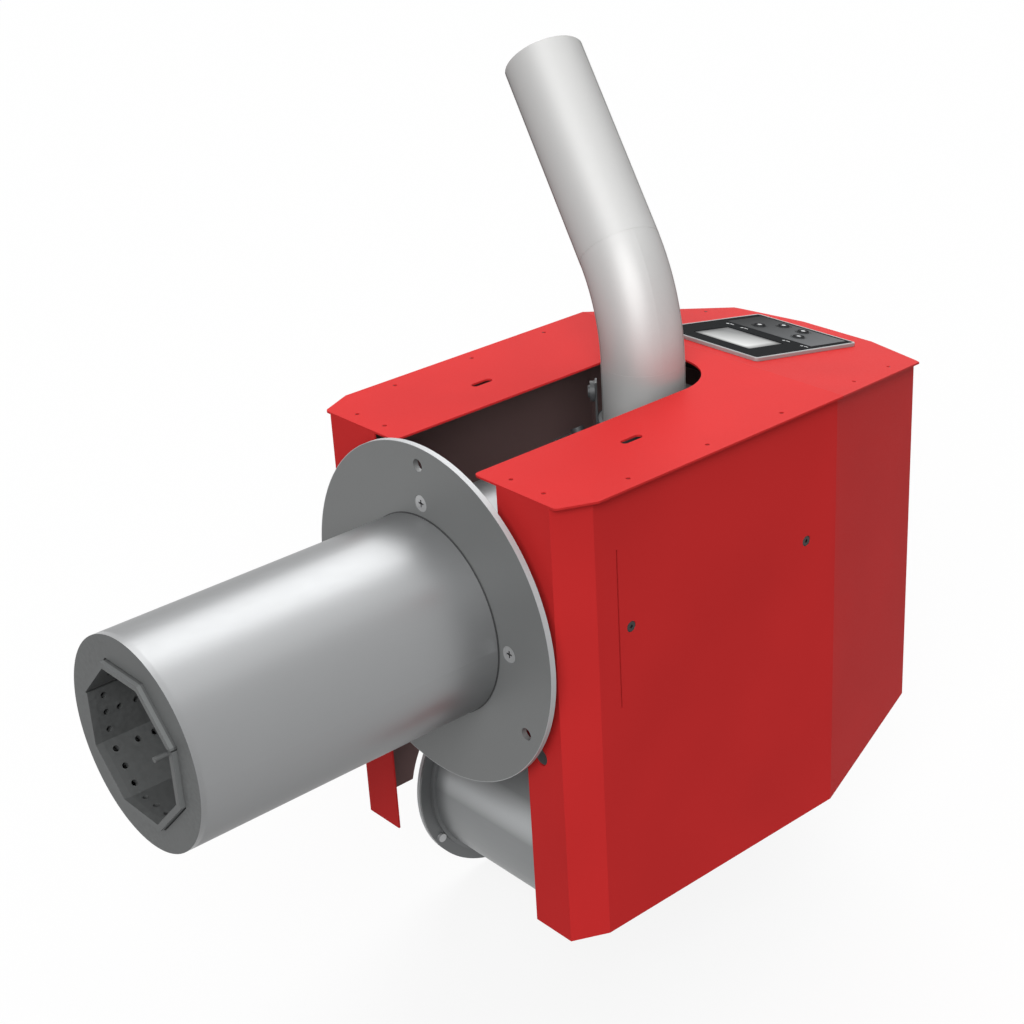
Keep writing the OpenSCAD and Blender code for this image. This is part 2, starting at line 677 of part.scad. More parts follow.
module cover_volume() {
    rotate([90, 0, 90]) translate([0, 0, -side_half - 20]) linear_extrude(2 * side_half + 40)
        polygon(concat(foot_line, flip(side_line(top_line, -sheet))));
}

module strip_cuts() {
    along_y(front_y - 5, front_y + sheet + 5, strip_arc_r);
    translate([0, front_y - 5, 0]) cube([strip_top_x, 12, top_z + 10]);
    translate([0, front_y - 5, foot_z - 10]) cube([strip_low_x, 12, -foot_z + 10]);
    translate([92.5, 0, -79]) along_y(front_y - 5, front_y + 5, 6.5);
}

lip_plan = [[side_half, front_y + front_taper], [side_half, bend_y], [rear_half, rear_y]];

module side_panel() {
    full_plan = concat([[strip_top_x - 1, front_y]], side_plan);
    difference() {
        union() {
            intersection() {
                translate([0, 0, foot_z - 5]) linear_extrude(top_z - foot_z + 10)
                    polygon(band(full_plan, 0, sheet));
                cover_volume();
            }
            intersection() {
                translate([0, 0, foot_z]) linear_extrude(top_z - foot_z + 10) {
                    polygon(band(lip_plan, sheet / 2, lip_w));
                    polygon([[strip_top_x, front_y + sheet / 2], [front_half - 1, front_y + sheet / 2],
                        [side_half - lip_w, front_y + front_taper - 3], [strip_top_x, front_y + 21]]);
                }
                under_top(sheet, 2 * sheet);
            }
        }
        strip_cuts();
        for (y = side_screw_ys) translate([0, y, side_screw_z])
            along_x(side_half - 5, side_half + 5, side_screw_head_r + 0.4);
        translate([side_half - 5, 56.7, -46.7]) cube([10, 1.2, 116.3]);
        rivet_places() cylinder(h = 20, r = rivet_r + 0.1, center = true, $fn = 24);
    }
}

module rivet_places() {
    for (y = rivet_ys) translate([rivet_x, y, top_z]) children();
    for (x = front_rivets) translate([x, front_rivet_y, top_z]) children();
    on_slope() for (q = slope_rivets) translate([q.x, q.y, 0]) children();
}

module right_panel() color([0.72, 0.20, 0.20]) side_panel();

module left_panel() color([0.72, 0.20, 0.20]) difference() {
    mirror([1, 0, 0]) side_panel();
    at_blower() along_x(-side_half - 5, -side_half + 20, arch_r);
}

plate_corner = [front_half + overhang, front_y];

// Arc that rounds the corner q between p and s
function rounded(p, q, s, r) = let(
    u = (p - q) / norm(p - q), v = (s - q) / norm(s - q), half = acos(u * v) / 2,
    c = q + (u + v) / norm(u + v) * r / sin(half), a = q + u * r / tan(half) - c,
    b = q + v * r / tan(half) - c, a0 = atan2(a.y, a.x), turn = atan2(b.y, b.x) - a0,
    sweep = turn > 180 ? turn - 360 : turn < -180 ? turn + 360 : turn)
    [for (i = [0:6]) c + r * [cos(a0 + sweep * i / 6), sin(a0 + sweep * i / 6)]];

plate_side = [side_half + overhang, front_y + front_taper + 0.7];
plate_half = concat(rounded([0, front_y], plate_corner, plate_side, corner_r), [
    plate_side, [side_half + overhang, bend_y],
    [rear_half + overhang - 0.4, rear_y], [rear_half - 0.5, rear_y + 2.2], [34.6, rear_y + 16.7]]);

module top_cover() color([0.86, 0.23, 0.23]) difference() {
    intersection() {
        linear_extrude(top_z + 20) polygon(concat(plate_half, mirrored(plate_half)));
        under_top(0, sheet - fit);
    }
    translate([0, inlet_y, top_z]) cylinder(h = 10, r = slot_half, center = true);
    translate([-slot_half, 0, top_z - 5]) cube([2 * slot_half, inlet_y, 10]);
    for (s = [0, 1]) mirror([s, 0, 0]) translate([0, 0, top_z - 5]) linear_extrude(10)
        polygon(concat([[slot_half - 1, front_y - 1], [slot_half - 1, front_y + corner_r]],
            rounded([slot_half, bend_y], [slot_half, front_y], [side_half, front_y], corner_r),
            [[slot_half + corner_r, front_y - 1]]));
    for (s = [-1, 1], y = [114, 126]) translate([s * 76.6, y, top_z]) cylinder(h = 10, r = 3, center = true);
    for (s = [-1, 1]) translate([s * 76.6 - 3, 114, top_z - 5]) cube([6, 12, 10]);
    for (s = [0, 1]) mirror([s, 0, 0]) rivet_places()
        cylinder(h = 10, r = rivet_r + 0.1, center = true, $fn = 24);
    on_slope() translate([tray_x0 + tray_wall, tray_v0 + tray_wall, -5])
        cube([tray_x1 - tray_x0 - 2 * tray_wall, tray_v1 - tray_v0 - 2 * tray_wall, 10]);
}

module top_rivets() color([0.45, 0.12, 0.12]) for (s = [0, 1]) mirror([s, 0, 0]) rivet_places() {
    translate([0, 0, -3 - 1.2]) cylinder(h = 3.7, r = rivet_r, $fn = 24);
    translate([0, 0, -3 - 1.4]) cylinder(h = 1.35, r = rivet_r + 1, $fn = 24);
}

wall_in = sheet + fit;
rear_u = (side_plan[3] - side_plan[2]) / norm(side_plan[3] - side_plan[2]);
rear_corner = side_plan[3] - wall_in * right_n(side_plan[2], side_plan[3]) - 0.5 * rear_u;
rear_plan = [rear_corner - 22 * rear_u, rear_corner, [34, rear_y + 11.7]];

module rear_panel() color([0.72, 0.20, 0.20]) difference() {
    intersection() {
        translate([0, 0, foot_z - 5]) linear_extrude(top_z - foot_z + 10)
            polygon(band(concat(rear_plan, mirrored(rear_plan)), 0, sheet));
        cover_volume();
    }
    for (s = [0, 1]) mirror([s, 0, 0]) intersection() {
        translate([0, 0, foot_z]) linear_extrude(top_z - foot_z + 10)
            polygon(band(lip_plan, -1, lip_w + fit));
        under_top(0, 2 * sheet + fit);
    }
    translate([-14.5, rear_y, -72.5]) cube([29, 30, 25]);
}

// Tabs between the body and the side panels
module cover_brackets() color([0.50, 0.51, 0.52])
    for (s = [0, 1], y = side_screw_ys) mirror([s, 0, 0]) difference() {
        union() {
            translate([tube_r / 2, y - 12, side_screw_z - 9])
                cube([side_half - sheet - fit - tube_r / 2, 24, 2]);
            translate([side_half - sheet - fit - 2, y - 12, side_screw_z - 9]) cube([2, 24, 18]);
        }
        along_y(y - 20, y + 20, body_r + fit);
        along_y(body_rear_y - ring_t - fit, body_rear_y + 10, ring_r + fit);
        translate([0, y, side_screw_z]) along_x(side_half - 10, side_half, 2.5);
    }

module side_screws() color([0.25, 0.25, 0.26]) for (s = [0, 1], y = side_screw_ys) mirror([s, 0, 0])
    translate([0, y, side_screw_z]) difference() {
        union() {
            along_x(side_half - sheet - fit, side_half - 0.3, side_screw_head_r);
            along_x(side_half - 9, side_half - 1, 2.4);
        }
        along_x(side_half - 1, side_half + 1, 1.4, $fn = 6);
    }

/* Control panel */
module panel_frame() color([0.13, 0.14, 0.14]) on_slope() difference() {
    round_plate(panel_x, panel_x + panel_w, panel_v, panel_v + panel_d, fit, panel_t, 3);
    translate([lcd_x0 - fit, lcd_v0 - fit, -1])
        cube([lcd_x1 - lcd_x0 + 2 * fit, lcd_v1 - lcd_v0 + 2 * fit, panel_t + 2]);
    translate([pad_x0 - fit, pad_v0 - fit, 1])
        cube([pad_x1 - pad_x0 + 2 * fit, pad_v1 - pad_v0 + 2 * fit, panel_t]);
    for (i = [0:3]) button_place(i) translate([0, 0, -1]) cylinder(h = 5, r = button_r + run);
    for (u = led_us) translate([panel_x + u * panel_w, led_v, -1]) cylinder(h = 5, r = 1.5, $fn = 24);
}

module button_place(i) {
    translate([panel_x + button_us[i] * panel_w, panel_v + button_vs[i] * panel_d, 0]) children();
}

module lcd_window() color([0.62, 0.66, 0.68]) on_slope() {
    translate([lcd_x0, lcd_v0, 0.4]) cube([lcd_x1 - lcd_x0, lcd_v1 - lcd_v0, panel_t - 0.8]);
    translate([lcd_x0 + 3, lcd_v0 + 3, board_z + board_t + fit])
        cube([lcd_x1 - lcd_x0 - 6, lcd_v1 - lcd_v0 - 6, -board_z - board_t + 0.6]);
}

module keypad() color([0.30, 0.31, 0.32]) on_slope() difference() {
    translate([pad_x0, pad_v0, 1 + fit]) cube([pad_x1 - pad_x0, pad_v1 - pad_v0, panel_t - 0.9]);
    for (i = [0:3]) button_place(i) cylinder(h = 5, r = button_r + run);
}

module one_button(i) color([0.75, 0.76, 0.77]) on_slope() button_place(i) {
    translate([0, 0, -1.5]) cylinder(h = panel_t + 1.5 + button_proud, r = button_r, $fn = 48);
    translate([0, 0, -1.6]) cylinder(h = 1.35, r = button_r + 1.2, $fn = 48);
}

module button_1() one_button(0);

module button_2() one_button(1);

module button_3() one_button(2);

module button_4() one_button(3);

module status_lamps() color([0.85, 0.88, 0.86]) on_slope() for (u = led_us)
    translate([panel_x + u * panel_w, led_v, 0]) {
        translate([0, 0, board_z + board_t + fit])
            cylinder(h = panel_t - board_z - board_t - 0.2, r = 1.4, $fn = 24);
    }

module control_board() color([0.10, 0.36, 0.22]) on_slope()
    translate([tray_x0 + tray_wall + 0.5, tray_v0 + tray_wall + 0.5, board_z])
        cube([tray_x1 - tray_x0 - 2 * tray_wall - 1, tray_v1 - tray_v0 - 2 * tray_wall - 1, board_t]);

module key_switches() color([0.12, 0.12, 0.12]) on_slope() for (i = [0:3]) button_place(i) {
    translate([-3, -3, board_z + board_t + fit]) cube([6, 6, switch_z - board_z - board_t - 0.5]);
    cylinder_z = board_z + board_t + fit;
    translate([0, 0, cylinder_z]) cylinder(h = switch_z - cylinder_z, r = 1.7, $fn = 24);
}

module control_tray() color([0.16, 0.17, 0.18]) on_slope() difference() {
    translate([tray_x0, tray_v0, tray_z]) cube([tray_x1 - tray_x0, tray_v1 - tray_v0, -tray_z - sheet - fit]);
    translate([tray_x0 + tray_wall, tray_v0 + tray_wall, board_z - fit])
        cube([tray_x1 - tray_x0 - 2 * tray_wall, tray_v1 - tray_v0 - 2 * tray_wall, 20]);
    translate([tray_x0 + tray_wall + 3, tray_v0 + tray_wall + 3, tray_z + tray_wall])
        cube([tray_x1 - tray_x0 - 2 * tray_wall - 6, tray_v1 - tray_v0 - 2 * tray_wall - 6, 30]);
}

module power_inlet() color([0.10, 0.10, 0.11]) translate([0, rear_y + 11.7, -60]) difference() {
    union() {
        translate([-14, -26, -12]) cube([28, 26, 24]);
        translate([-20, 0, -15]) cube([40, 3, 30]);
    }
    translate([-11, -12, -8.5]) cube([22, 20, 17]);
}

burner_tube();
tube_end_ring();
grate_upper();
grate_lower();
grate_back();
grate_rails();
tube_bulkhead();
mounting_flange();
front_ring();
flange_screws();
rear_body();
rear_ring();
back_plate();
back_screws();
feed_tube();
feed_screw();
screw_bush();
gearbox();
feed_motor();
inlet_socket();
feed_pipe();
pipe_clamp();
clamp_screw();
pipe_sensor();
igniter_tube();
igniter();
sight_tube();
flame_sensor();
backfire_sensor();
air_duct();
blower_drum();
blower_cover();
blower_screws();
blower_motor();
impeller();
intake_grille();
right_panel();
left_panel();
top_cover();
rear_panel();
cover_brackets();
side_screws();
top_rivets();
panel_frame();
lcd_window();
keypad();
button_1();
button_2();
button_3();
button_4();
status_lamps();
control_board();
key_switches();
control_tray();
power_inlet();
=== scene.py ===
import json
import math

import bmesh
import bpy
from bpy.props import FloatProperty, FloatVectorProperty, IntProperty, PointerProperty
from mathutils import Matrix, Vector

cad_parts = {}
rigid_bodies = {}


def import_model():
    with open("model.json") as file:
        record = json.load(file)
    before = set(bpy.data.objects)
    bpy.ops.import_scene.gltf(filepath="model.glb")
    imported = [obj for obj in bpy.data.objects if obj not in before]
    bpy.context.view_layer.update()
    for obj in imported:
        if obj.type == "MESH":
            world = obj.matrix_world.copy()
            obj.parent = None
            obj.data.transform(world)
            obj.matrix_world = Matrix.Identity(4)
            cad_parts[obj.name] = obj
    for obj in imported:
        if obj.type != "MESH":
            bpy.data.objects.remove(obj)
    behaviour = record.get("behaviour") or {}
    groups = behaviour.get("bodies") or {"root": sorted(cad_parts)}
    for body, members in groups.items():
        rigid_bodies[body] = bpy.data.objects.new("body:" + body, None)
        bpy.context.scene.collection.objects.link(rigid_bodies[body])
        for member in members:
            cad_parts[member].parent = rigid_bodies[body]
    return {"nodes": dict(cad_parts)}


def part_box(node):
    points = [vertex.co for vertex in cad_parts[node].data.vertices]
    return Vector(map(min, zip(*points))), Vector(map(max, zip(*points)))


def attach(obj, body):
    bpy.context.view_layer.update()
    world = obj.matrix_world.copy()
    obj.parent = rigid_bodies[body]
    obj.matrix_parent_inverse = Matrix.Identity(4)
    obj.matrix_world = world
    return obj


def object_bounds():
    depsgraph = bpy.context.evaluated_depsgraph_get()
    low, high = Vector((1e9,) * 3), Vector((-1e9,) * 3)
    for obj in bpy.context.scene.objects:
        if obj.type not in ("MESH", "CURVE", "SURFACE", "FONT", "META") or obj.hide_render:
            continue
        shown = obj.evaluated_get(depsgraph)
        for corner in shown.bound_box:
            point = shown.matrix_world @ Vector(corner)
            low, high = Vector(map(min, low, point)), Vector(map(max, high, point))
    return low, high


bl_info = {
    "name": "Pellet burner",
    "version": (1, 0, 0),
    "blender": (4, 5, 0),
    "location": "View3D > Sidebar > Burner",
    "description": "Dresses a pellet burner: finishes, trim, small hardware, camera and stage",
    "category": "Object",
}

for leftover in list(bpy.data.objects):
    bpy.data.objects.remove(leftover)
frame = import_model()
CAD_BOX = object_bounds()
NODES = frame["nodes"]

# The control panel lies on the cover's rear slope: shares across and down it, and heights above the sheet
SLOPE_START = Vector((0.0, 0.269, 0.1116))
SLOPE_ANGLE = math.radians(10.0)
SLOPE = Matrix.Translation(SLOPE_START) @ Matrix.Rotation(-SLOPE_ANGLE, 4, "X")
PANEL_LEFT, PANEL_WIDTH = -0.0605, 0.0992
PANEL_TOP, PANEL_DEPTH, PANEL_THICK = 0.0134, 0.1119, 0.0025
PANEL_CORNER = 0.003
DISPLAY = (0.20, 0.77, 0.15, 0.49)
KEYPAD = (0.07, 0.93, 0.61, 0.965)
LAMP_PLACES, LAMP_ROW = (0.12, 0.27, 0.70, 0.88), 0.565
MARK_LENGTH, MARK_WIDTH, MARK_START = 0.0034, 0.0008, Vector((0.0026, -0.0004, 0.0))
BUTTON_PLACES = ((0.285, 0.73), (0.385, 0.88), (0.585, 0.88), (0.685, 0.73))
BUTTON_TOP = PANEL_THICK + 0.0009

# The silver border: reach past the panel's edge, rise above its face, bevel, and height of its foot
TRIM_PROUD, TRIM_RISE, TRIM_BEVEL, TRIM_FOOT = 0.0005, 0.0003, 0.0004, 0.0001

# Outer and inner radius of the ring on a button and of the one printed round it, and the dot's radius
BUTTON_RING, SURROUND_RING, DOT_RADIUS = (0.0043, 0.0029), (0.0066, 0.0051), 0.0016

# How deep a mark is sunk into what it is printed on, and how far a printed ring stands up
PRINT_SINK, PRINT_RISE = 0.0002, 0.00015

# The grate's octagonal shells: outer and inner face from the tube's axis, and where the halves end
SHELL_FLAT, SHELL_INNER = 0.0513, 0.0473
SHELL_SPLIT_UPPER, SHELL_SPLIT_LOWER = 0.0195, 0.0183
OCTAGON_SLANT = math.tan(math.radians(22.5))

# The lower shell starts this far behind the mouth, and stands out by this share of the upper one's reach
LOWER_RECESS, LOWER_SHARE = 0.0015, 0.8

# The dark joint line on the tube: place along it, and height above its skin
SEAM_PROFILE = ((-0.0001, 0.0007), (-0.0008, 0.0005), (-0.0010, -0.0004), (-0.0001, -0.0004))

# Sheet faces that look back towards this point inside the cover, from further than the reach, show primer
COVER_MIDDLE, EDGE_REACH = (0.0, 0.2, -0.05), 0.11

# Past these radii the flange and the blower's cover show their cut edge
FLANGE_RIM, BLOWER_RIM = 0.1226, 0.0859
BLOWER_AXIS = (0.0, 0.1512, -0.240)

# Which way the drum's painted highlight faces, and how far from its cover its painted shade reaches
DRUM_HIGHLIGHT, DRUM_SHADE = (0, -0.94, 0.342), 0.02

# The feed motor's ribs stand between its two end caps
MOTOR_RADIUS, MOTOR_CENTRE_Z = 0.022, -0.022
RIB_DEPTH, RIB_WIDTH, RIB_STAND, RIB_START, RIB_MARGIN = 0.0024, 0.0014, 0.0008, 0.006, 0.017

# The power inlet's flat contacts: places across and up, and their sizes
INLET_PINS = ((-0.007, 0.002), (0.0, -0.002), (0.007, 0.002))
INLET_FLOOR, PIN_LENGTH, PIN_HALF_WIDTH, PIN_HALF_HEIGHT = 0.0151, 0.0115, 0.001, 0.002

# Colours that more than one finish uses
CUT_EDGE = (0.50, 0.51, 0.52)
SCREW_STEEL = (0.46, 0.465, 0.47)
MOTOR_ENAMEL = (0.028, 0.030, 0.034)

# How far below the burner the floor lies, half its width, and how much of it is plain white to the camera
FLOOR_GAP, FLOOR_HALF, WHITE_SHARE = 0.002, 9, 0.88


# Settings


class BurnerCamera(bpy.types.PropertyGroup):
    azimuth: FloatProperty(name="Azimuth", description="Angle of the camera round the burner",
                           default=math.radians(50.51), subtype="ANGLE")
    elevation: FloatProperty(name="Elevation", description="Angle of the camera above the horizon",
                             default=math.radians(25.26), subtype="ANGLE")
    roll: FloatProperty(name="Roll", description="Turn of the camera about its view",
                        default=math.radians(-3.47), subtype="ANGLE")
    offset: FloatVectorProperty(name="Offset", size=3, subtype="TRANSLATION", unit="LENGTH",
                                description="Distance from the flange centre: back, to the right and up",
                                default=(1.315411, 0.055718, 0.068515))
    lens: FloatProperty(name="Lens", description="Focal length in millimetres",
                        default=68.38, min=20, max=200)


class BurnerLight(bpy.types.PropertyGroup):
    key: FloatProperty(name="Key", description="Strength of the soft key lamp", default=2.15, min=0)
    key_from: FloatVectorProperty(name="Key from", size=3, subtype="DIRECTION",
                                  description="Direction that the key light comes from",
                                  default=(0.60, -0.66, 0.58))
    top: FloatProperty(name="Top", description="Strength of the overhead lamp", default=0.9, min=0)
    fill: FloatProperty(name="Fill", description="Strength of the lamp behind the burner",
                        default=1.48, min=0)
    sky: FloatProperty(name="Sky", description="Light from all round, where 1 is white",
                       default=0.18, min=0, max=1)


class BurnerFinish(bpy.types.PropertyGroup):
    coat: FloatVectorProperty(name="Red coat", description="Powder coat of the cover",
                              subtype="COLOR", size=3, default=(0.66, 0.032, 0.032), min=0, max=1)
    tube: FloatVectorProperty(name="Tube", description="Satin steel of the flame tube",
                              subtype="COLOR", size=3, default=(0.30, 0.305, 0.31), min=0, max=1)
    flange: FloatVectorProperty(name="Flange", description="Matte steel plate", subtype="COLOR", size=3,
                                default=(0.195, 0.20, 0.20), min=0, max=1)
    pipe: FloatVectorProperty(name="Pipe", description="Pale steel of the feed pipe", subtype="COLOR", size=3,
                              default=(0.54, 0.54, 0.535), min=0, max=1)
    hot: FloatVectorProperty(name="Hot steel", description="Heat-stained steel of the grate",
                             subtype="COLOR", size=3, default=(0.13, 0.135, 0.135), min=0, max=1)
    zinc: FloatVectorProperty(name="Zinc", description="Galvanised inner sheet", subtype="COLOR", size=3,
                              default=(0.30, 0.31, 0.315), min=0, max=1)


class BurnerDetail(bpy.types.PropertyGroup):
    lip: FloatProperty(name="Grate lip", description="How far the grate's shells stand out of the mouth",
                       default=0.0043, min=0.002, max=0.01, unit="LENGTH")
    trim_width: FloatProperty(name="Trim width", description="Width of the panel's silver border",
                              default=0.0011, min=0.0003, max=0.004, unit="LENGTH")
    motor_ribs: IntProperty(name="Motor ribs", description="Cooling ribs round the feed motor",
                            default=28, min=6, max=60)


# Shaders


def new_finish(name):
    """An empty material with a Principled shader, as (material, tree, shader)."""
    material = bpy.data.materials.new(name)
    material.use_nodes = True
    tree = material.node_tree
    tree.nodes.clear()
    shader = tree.nodes.new("ShaderNodeBsdfPrincipled")
    output = tree.nodes.new("ShaderNodeOutputMaterial")
    tree.links.new(shader.outputs["BSDF"], output.inputs["Surface"])
    return material, tree, shader


def fill_inputs(tree, node, values):
    """Gives each input a value or a link from a socket."""
    for socket, value in zip(node.inputs, values):
        if isinstance(value, bpy.types.NodeSocket):
            tree.links.new(value, socket)
        else:
            socket.default_value = value


def maths(tree, operation, *values):
    node = tree.nodes.new("ShaderNodeMath")
    node.operation = operation
    fill_inputs(tree, node, values)
    return node.outputs[0]


def vector_maths(tree, operation, *values, output=0):
    node = tree.nodes.new("ShaderNodeVectorMath")
    node.operation = operation
    fill_inputs(tree, node, values)
    return node.outputs[output]


def place(tree, scale=(1, 1, 1), move=(0, 0, 0)):
    """The surface point in the object's own metres, moved and stretched."""
    coords = tree.nodes.new("ShaderNodeTexCoord")
    mapping = tree.nodes.new("ShaderNodeMapping")
    mapping.inputs["Location"].default_value = move
    mapping.inputs["Scale"].default_value = scale
    tree.links.new(coords.outputs["Object"], mapping.inputs["Vector"])
    return mapping.outputs["Vector"]


def along(tree, axis):
    """The surface point's distance along X, Y or Z."""
    split = tree.nodes.new("ShaderNodeSeparateXYZ")
    tree.links.new(place(tree), split.inputs[0])
    return split.outputs[axis]


def facing(tree, direction):
    """How squarely the surface looks along a direction, 1 when fully."""
    coords = tree.nodes.new("ShaderNodeTexCoord")
    return vector_maths(tree, "DOT_PRODUCT", coords.outputs["Normal"], direction, output="Value")


def beyond(tree, point, flat, radius):
    """1 where the point is further than radius from an axis; flat squashes the axis's own direction."""
    across = vector_maths(tree, "MULTIPLY", point, flat)
    return maths(tree, "GREATER_THAN", vector_maths(tree, "LENGTH", across, output="Value"), radius)


def outward(tree, centre=(0, 0, 0), flat=(1, 1, 1), least=0.0):
    """1 where the surface faces away from a point, or from an axis if flat squashes its direction."""
    coords = tree.nodes.new("ShaderNodeTexCoord")
    away = vector_maths(tree, "SUBTRACT", coords.outputs["Object"], centre)
    away = vector_maths(tree, "MULTIPLY", away, flat)
    reach = vector_maths(tree, "DOT_PRODUCT", away, coords.outputs["Normal"], output="Value")
    return maths(tree, "GREATER_THAN", reach, least)


def noise(tree, point, scale, detail=3.0, rough=0.55):
    node = tree.nodes.new("ShaderNodeTexNoise")
    node.inputs["Scale"].default_value = scale
    node.inputs["Detail"].default_value = detail
    node.inputs["Roughness"].default_value = rough
    tree.links.new(point, node.inputs["Vector"])
    return node.outputs["Fac"]


def between(tree, value, low, high, from_low=0.0, from_high=1.0):
    node = tree.nodes.new("ShaderNodeMapRange")
    node.inputs["From Min"].default_value = from_low
    node.inputs["From Max"].default_value = from_high
    node.inputs["To Min"].default_value = low
    node.inputs["To Max"].default_value = high
    tree.links.new(value, node.inputs["Value"])
    return node.outputs["Result"]


def blend(tree, factor, first, second):
    """Colour between first and second, each a colour or a socket."""
    node = tree.nodes.new("ShaderNodeMix")
    node.data_type = "RGBA"
    tree.links.new(factor, node.inputs[0])
    for socket, colour in ((node.inputs[6], first), (node.inputs[7], second)):
        if isinstance(colour, bpy.types.NodeSocket):
            tree.links.new(colour, socket)
        else:
            socket.default_value = (*colour, 1.0)
    return node.outputs[2]


def relief(tree, height, strength, distance=0.001):
    node = tree.nodes.new("ShaderNodeBump")
    node.inputs["Strength"].default_value = strength
    node.inputs["Distance"].default_value = distance
    tree.links.new(height, node.inputs["Height"])
    return node.outputs["Normal"]


def panel_point(tree, window):
    """The surface point from -1 to 1 across and down a window of the panel, given in shares of it."""
    left, right, top, bottom = window
    middle = SLOPE @ panel_place((left + right) / 2, (top + bottom) / 2, PANEL_THICK)
    coords = tree.nodes.new("ShaderNodeTexCoord")
    mapping = tree.nodes.new("ShaderNodeMapping")
    mapping.vector_type = "TEXTURE"
    mapping.inputs["Location"].default_value = middle
    mapping.inputs["Rotation"].default_value = (-SLOPE_ANGLE, 0, 0)
    half_width, half_depth = (right - left) * PANEL_WIDTH / 2, (bottom - top) * PANEL_DEPTH / 2
    mapping.inputs["Scale"].default_value = (half_width, half_depth, 1)
    tree.links.new(coords.outputs["Object"], mapping.inputs["Vector"])
    split = tree.nodes.new("ShaderNodeSeparateXYZ")
    tree.links.new(mapping.outputs["Vector"], split.inputs[0])
    return split.outputs["X"], split.outputs["Y"]


def panel_place(across, down, height=0.0):
    return Vector((PANEL_LEFT + across * PANEL_WIDTH, PANEL_TOP + down * PANEL_DEPTH, height))


def shade(colour, factor):
    return tuple(min(1.0, c * factor) for c in colour)


def metal(name, colour, metallic=0.6, rough=(0.34, 0.46), grain=(1, 1, 1), grain_scale=900.0, contrast=0.06,
          cloud=0.05, bump=0.03, specular=0.5, edge=1.0):
    """Steel: fine grain stretched one way, slow clouds in the colour, and roughness that follows the grain.

    A low edge darkens what the steel mirrors at its outline.
    """
    material, tree, shader = new_finish(name)
    fine = noise(tree, place(tree, grain), grain_scale, 4.0, 0.6)
    slow = noise(tree, place(tree), 14.0, 2.0)
    tone = blend(tree, between(tree, fine, 0.0, 1.0, 0.3, 0.7), shade(colour, 1 - contrast),
                 shade(colour, 1 + contrast))
    clouds = blend(tree, slow, shade(colour, 1 - cloud), shade(colour, 1 + cloud))
    tone = blend(tree, between(tree, slow, 0.0, 1.0, 0.35, 0.65), tone, clouds)
    tree.links.new(tone, shader.inputs["Base Color"])
    tree.links.new(between(tree, fine, rough[0], rough[1], 0.25, 0.75), shader.inputs["Roughness"])
    tree.links.new(relief(tree, fine, bump, 0.0002), shader.inputs["Normal"])
    shader.inputs["Metallic"].default_value = metallic
    shader.inputs["Specular IOR Level"].default_value = specular
    shader.inputs["Specular Tint"].default_value = (edge, edge, edge, 1.0)
    return material, tree, shader, tone


def powder_coat(name, colour, rough=0.46, peel=0.05, inside=None, primer=(0.26, 0.165, 0.16)):
    """Satin powder coat with fine orange peel, a slow change of tone, and primer towards the inside."""
    material, tree, shader = new_finish(name)
    fine = noise(tree, place(tree), 700.0, 2.0, 0.5)
    slow = noise(tree, place(tree), 9.0, 2.0, 0.5)
    tone = blend(tree, between(tree, slow, 0.0, 1.0, 0.3, 0.7), shade(colour, 0.96), shade(colour, 1.04))
    if inside:
        tone = blend(tree, outward(tree, inside, least=-EDGE_REACH), primer, tone)
    tree.links.new(tone, shader.inputs["Base Color"])
    tree.links.new(between(tree, fine, rough - 0.03, rough + 0.04, 0.3, 0.7), shader.inputs["Roughness"])
    tree.links.new(relief(tree, fine, peel, 0.0003), shader.inputs["Normal"])
    shader.inputs["Specular IOR Level"].default_value = 0.03
    return material


def plastic(name, colour, rough=0.5, grain_scale=1500.0, bump=0.06, specular=0.4):
    """Moulded plastic with a fine spark-eroded grain."""
    material, tree, shader = new_finish(name)
    fine = noise(tree, place(tree), grain_scale, 2.0, 0.5)
    slow = noise(tree, place(tree), 25.0, 2.0, 0.5)
    tone = blend(tree, slow, shade(colour, 0.9), shade(colour, 1.1))
    tree.links.new(tone, shader.inputs["Base Color"])
    tree.links.new(between(tree, fine, rough - 0.05, rough + 0.05, 0.3, 0.7), shader.inputs["Roughness"])
    tree.links.new(relief(tree, fine, bump, 0.0002), shader.inputs["Normal"])
    shader.inputs["Specular IOR Level"].default_value = specular
    return material


def paint_nodes(material, *names):
    """Gives these CAD nodes the material; their shape and place are left alone."""
    for name in names:
        node = NODES[name]
        if not node.material_slots:
            node.data.materials.append(material)
        for row in node.material_slots:
            row.material = material


# Pieces


def piece(name, mesh, body, material):
    """A finished piece of the burner, tied to the body that carries it."""
    shape = bpy.data.objects.new(name, mesh)
    bpy.context.scene.collection.objects.link(shape)
    mesh.materials.clear()
    mesh.materials.append(material)
    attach(shape, body)
    return shape


def finished_mesh(name, form):
    bmesh.ops.recalc_face_normals(form, faces=form.faces)
    mesh = bpy.data.meshes.new(name)
    form.to_mesh(mesh)
    form.free()
    return mesh


def band_mesh(name, loops):
    """A closed band through loops with as many points each, the last loop joined to the first."""
    form = bmesh.new()
    rows = [[form.verts.new(point) for point in loop] for loop in loops]
    for row, following in zip(rows, rows[1:] + rows[:1]):
        for i in range(len(row)):
            j = (i + 1) % len(row)
            form.faces.new((row[i], row[j], following[j], following[i]))
    return finished_mesh(name, form)


def bar_mesh(name, outline, push):
    """An outline pushed along a vector into a closed bar."""
    form = bmesh.new()
    near = [form.verts.new(point) for point in outline]
    far = [form.verts.new(Vector(point) + push) for point in outline]
    form.faces.new(near)
    form.faces.new(list(reversed(far)))
    for i in range(len(near)):
        j = (i + 1) % len(near)
        form.faces.new((near[i], far[i], far[j], near[j]))
    return finished_mesh(name, form)


def joined(name, meshes):
    """Several meshes as one."""
    form = bmesh.new()
    for mesh in meshes:
        form.from_mesh(mesh)
    return finished_mesh(name, form)


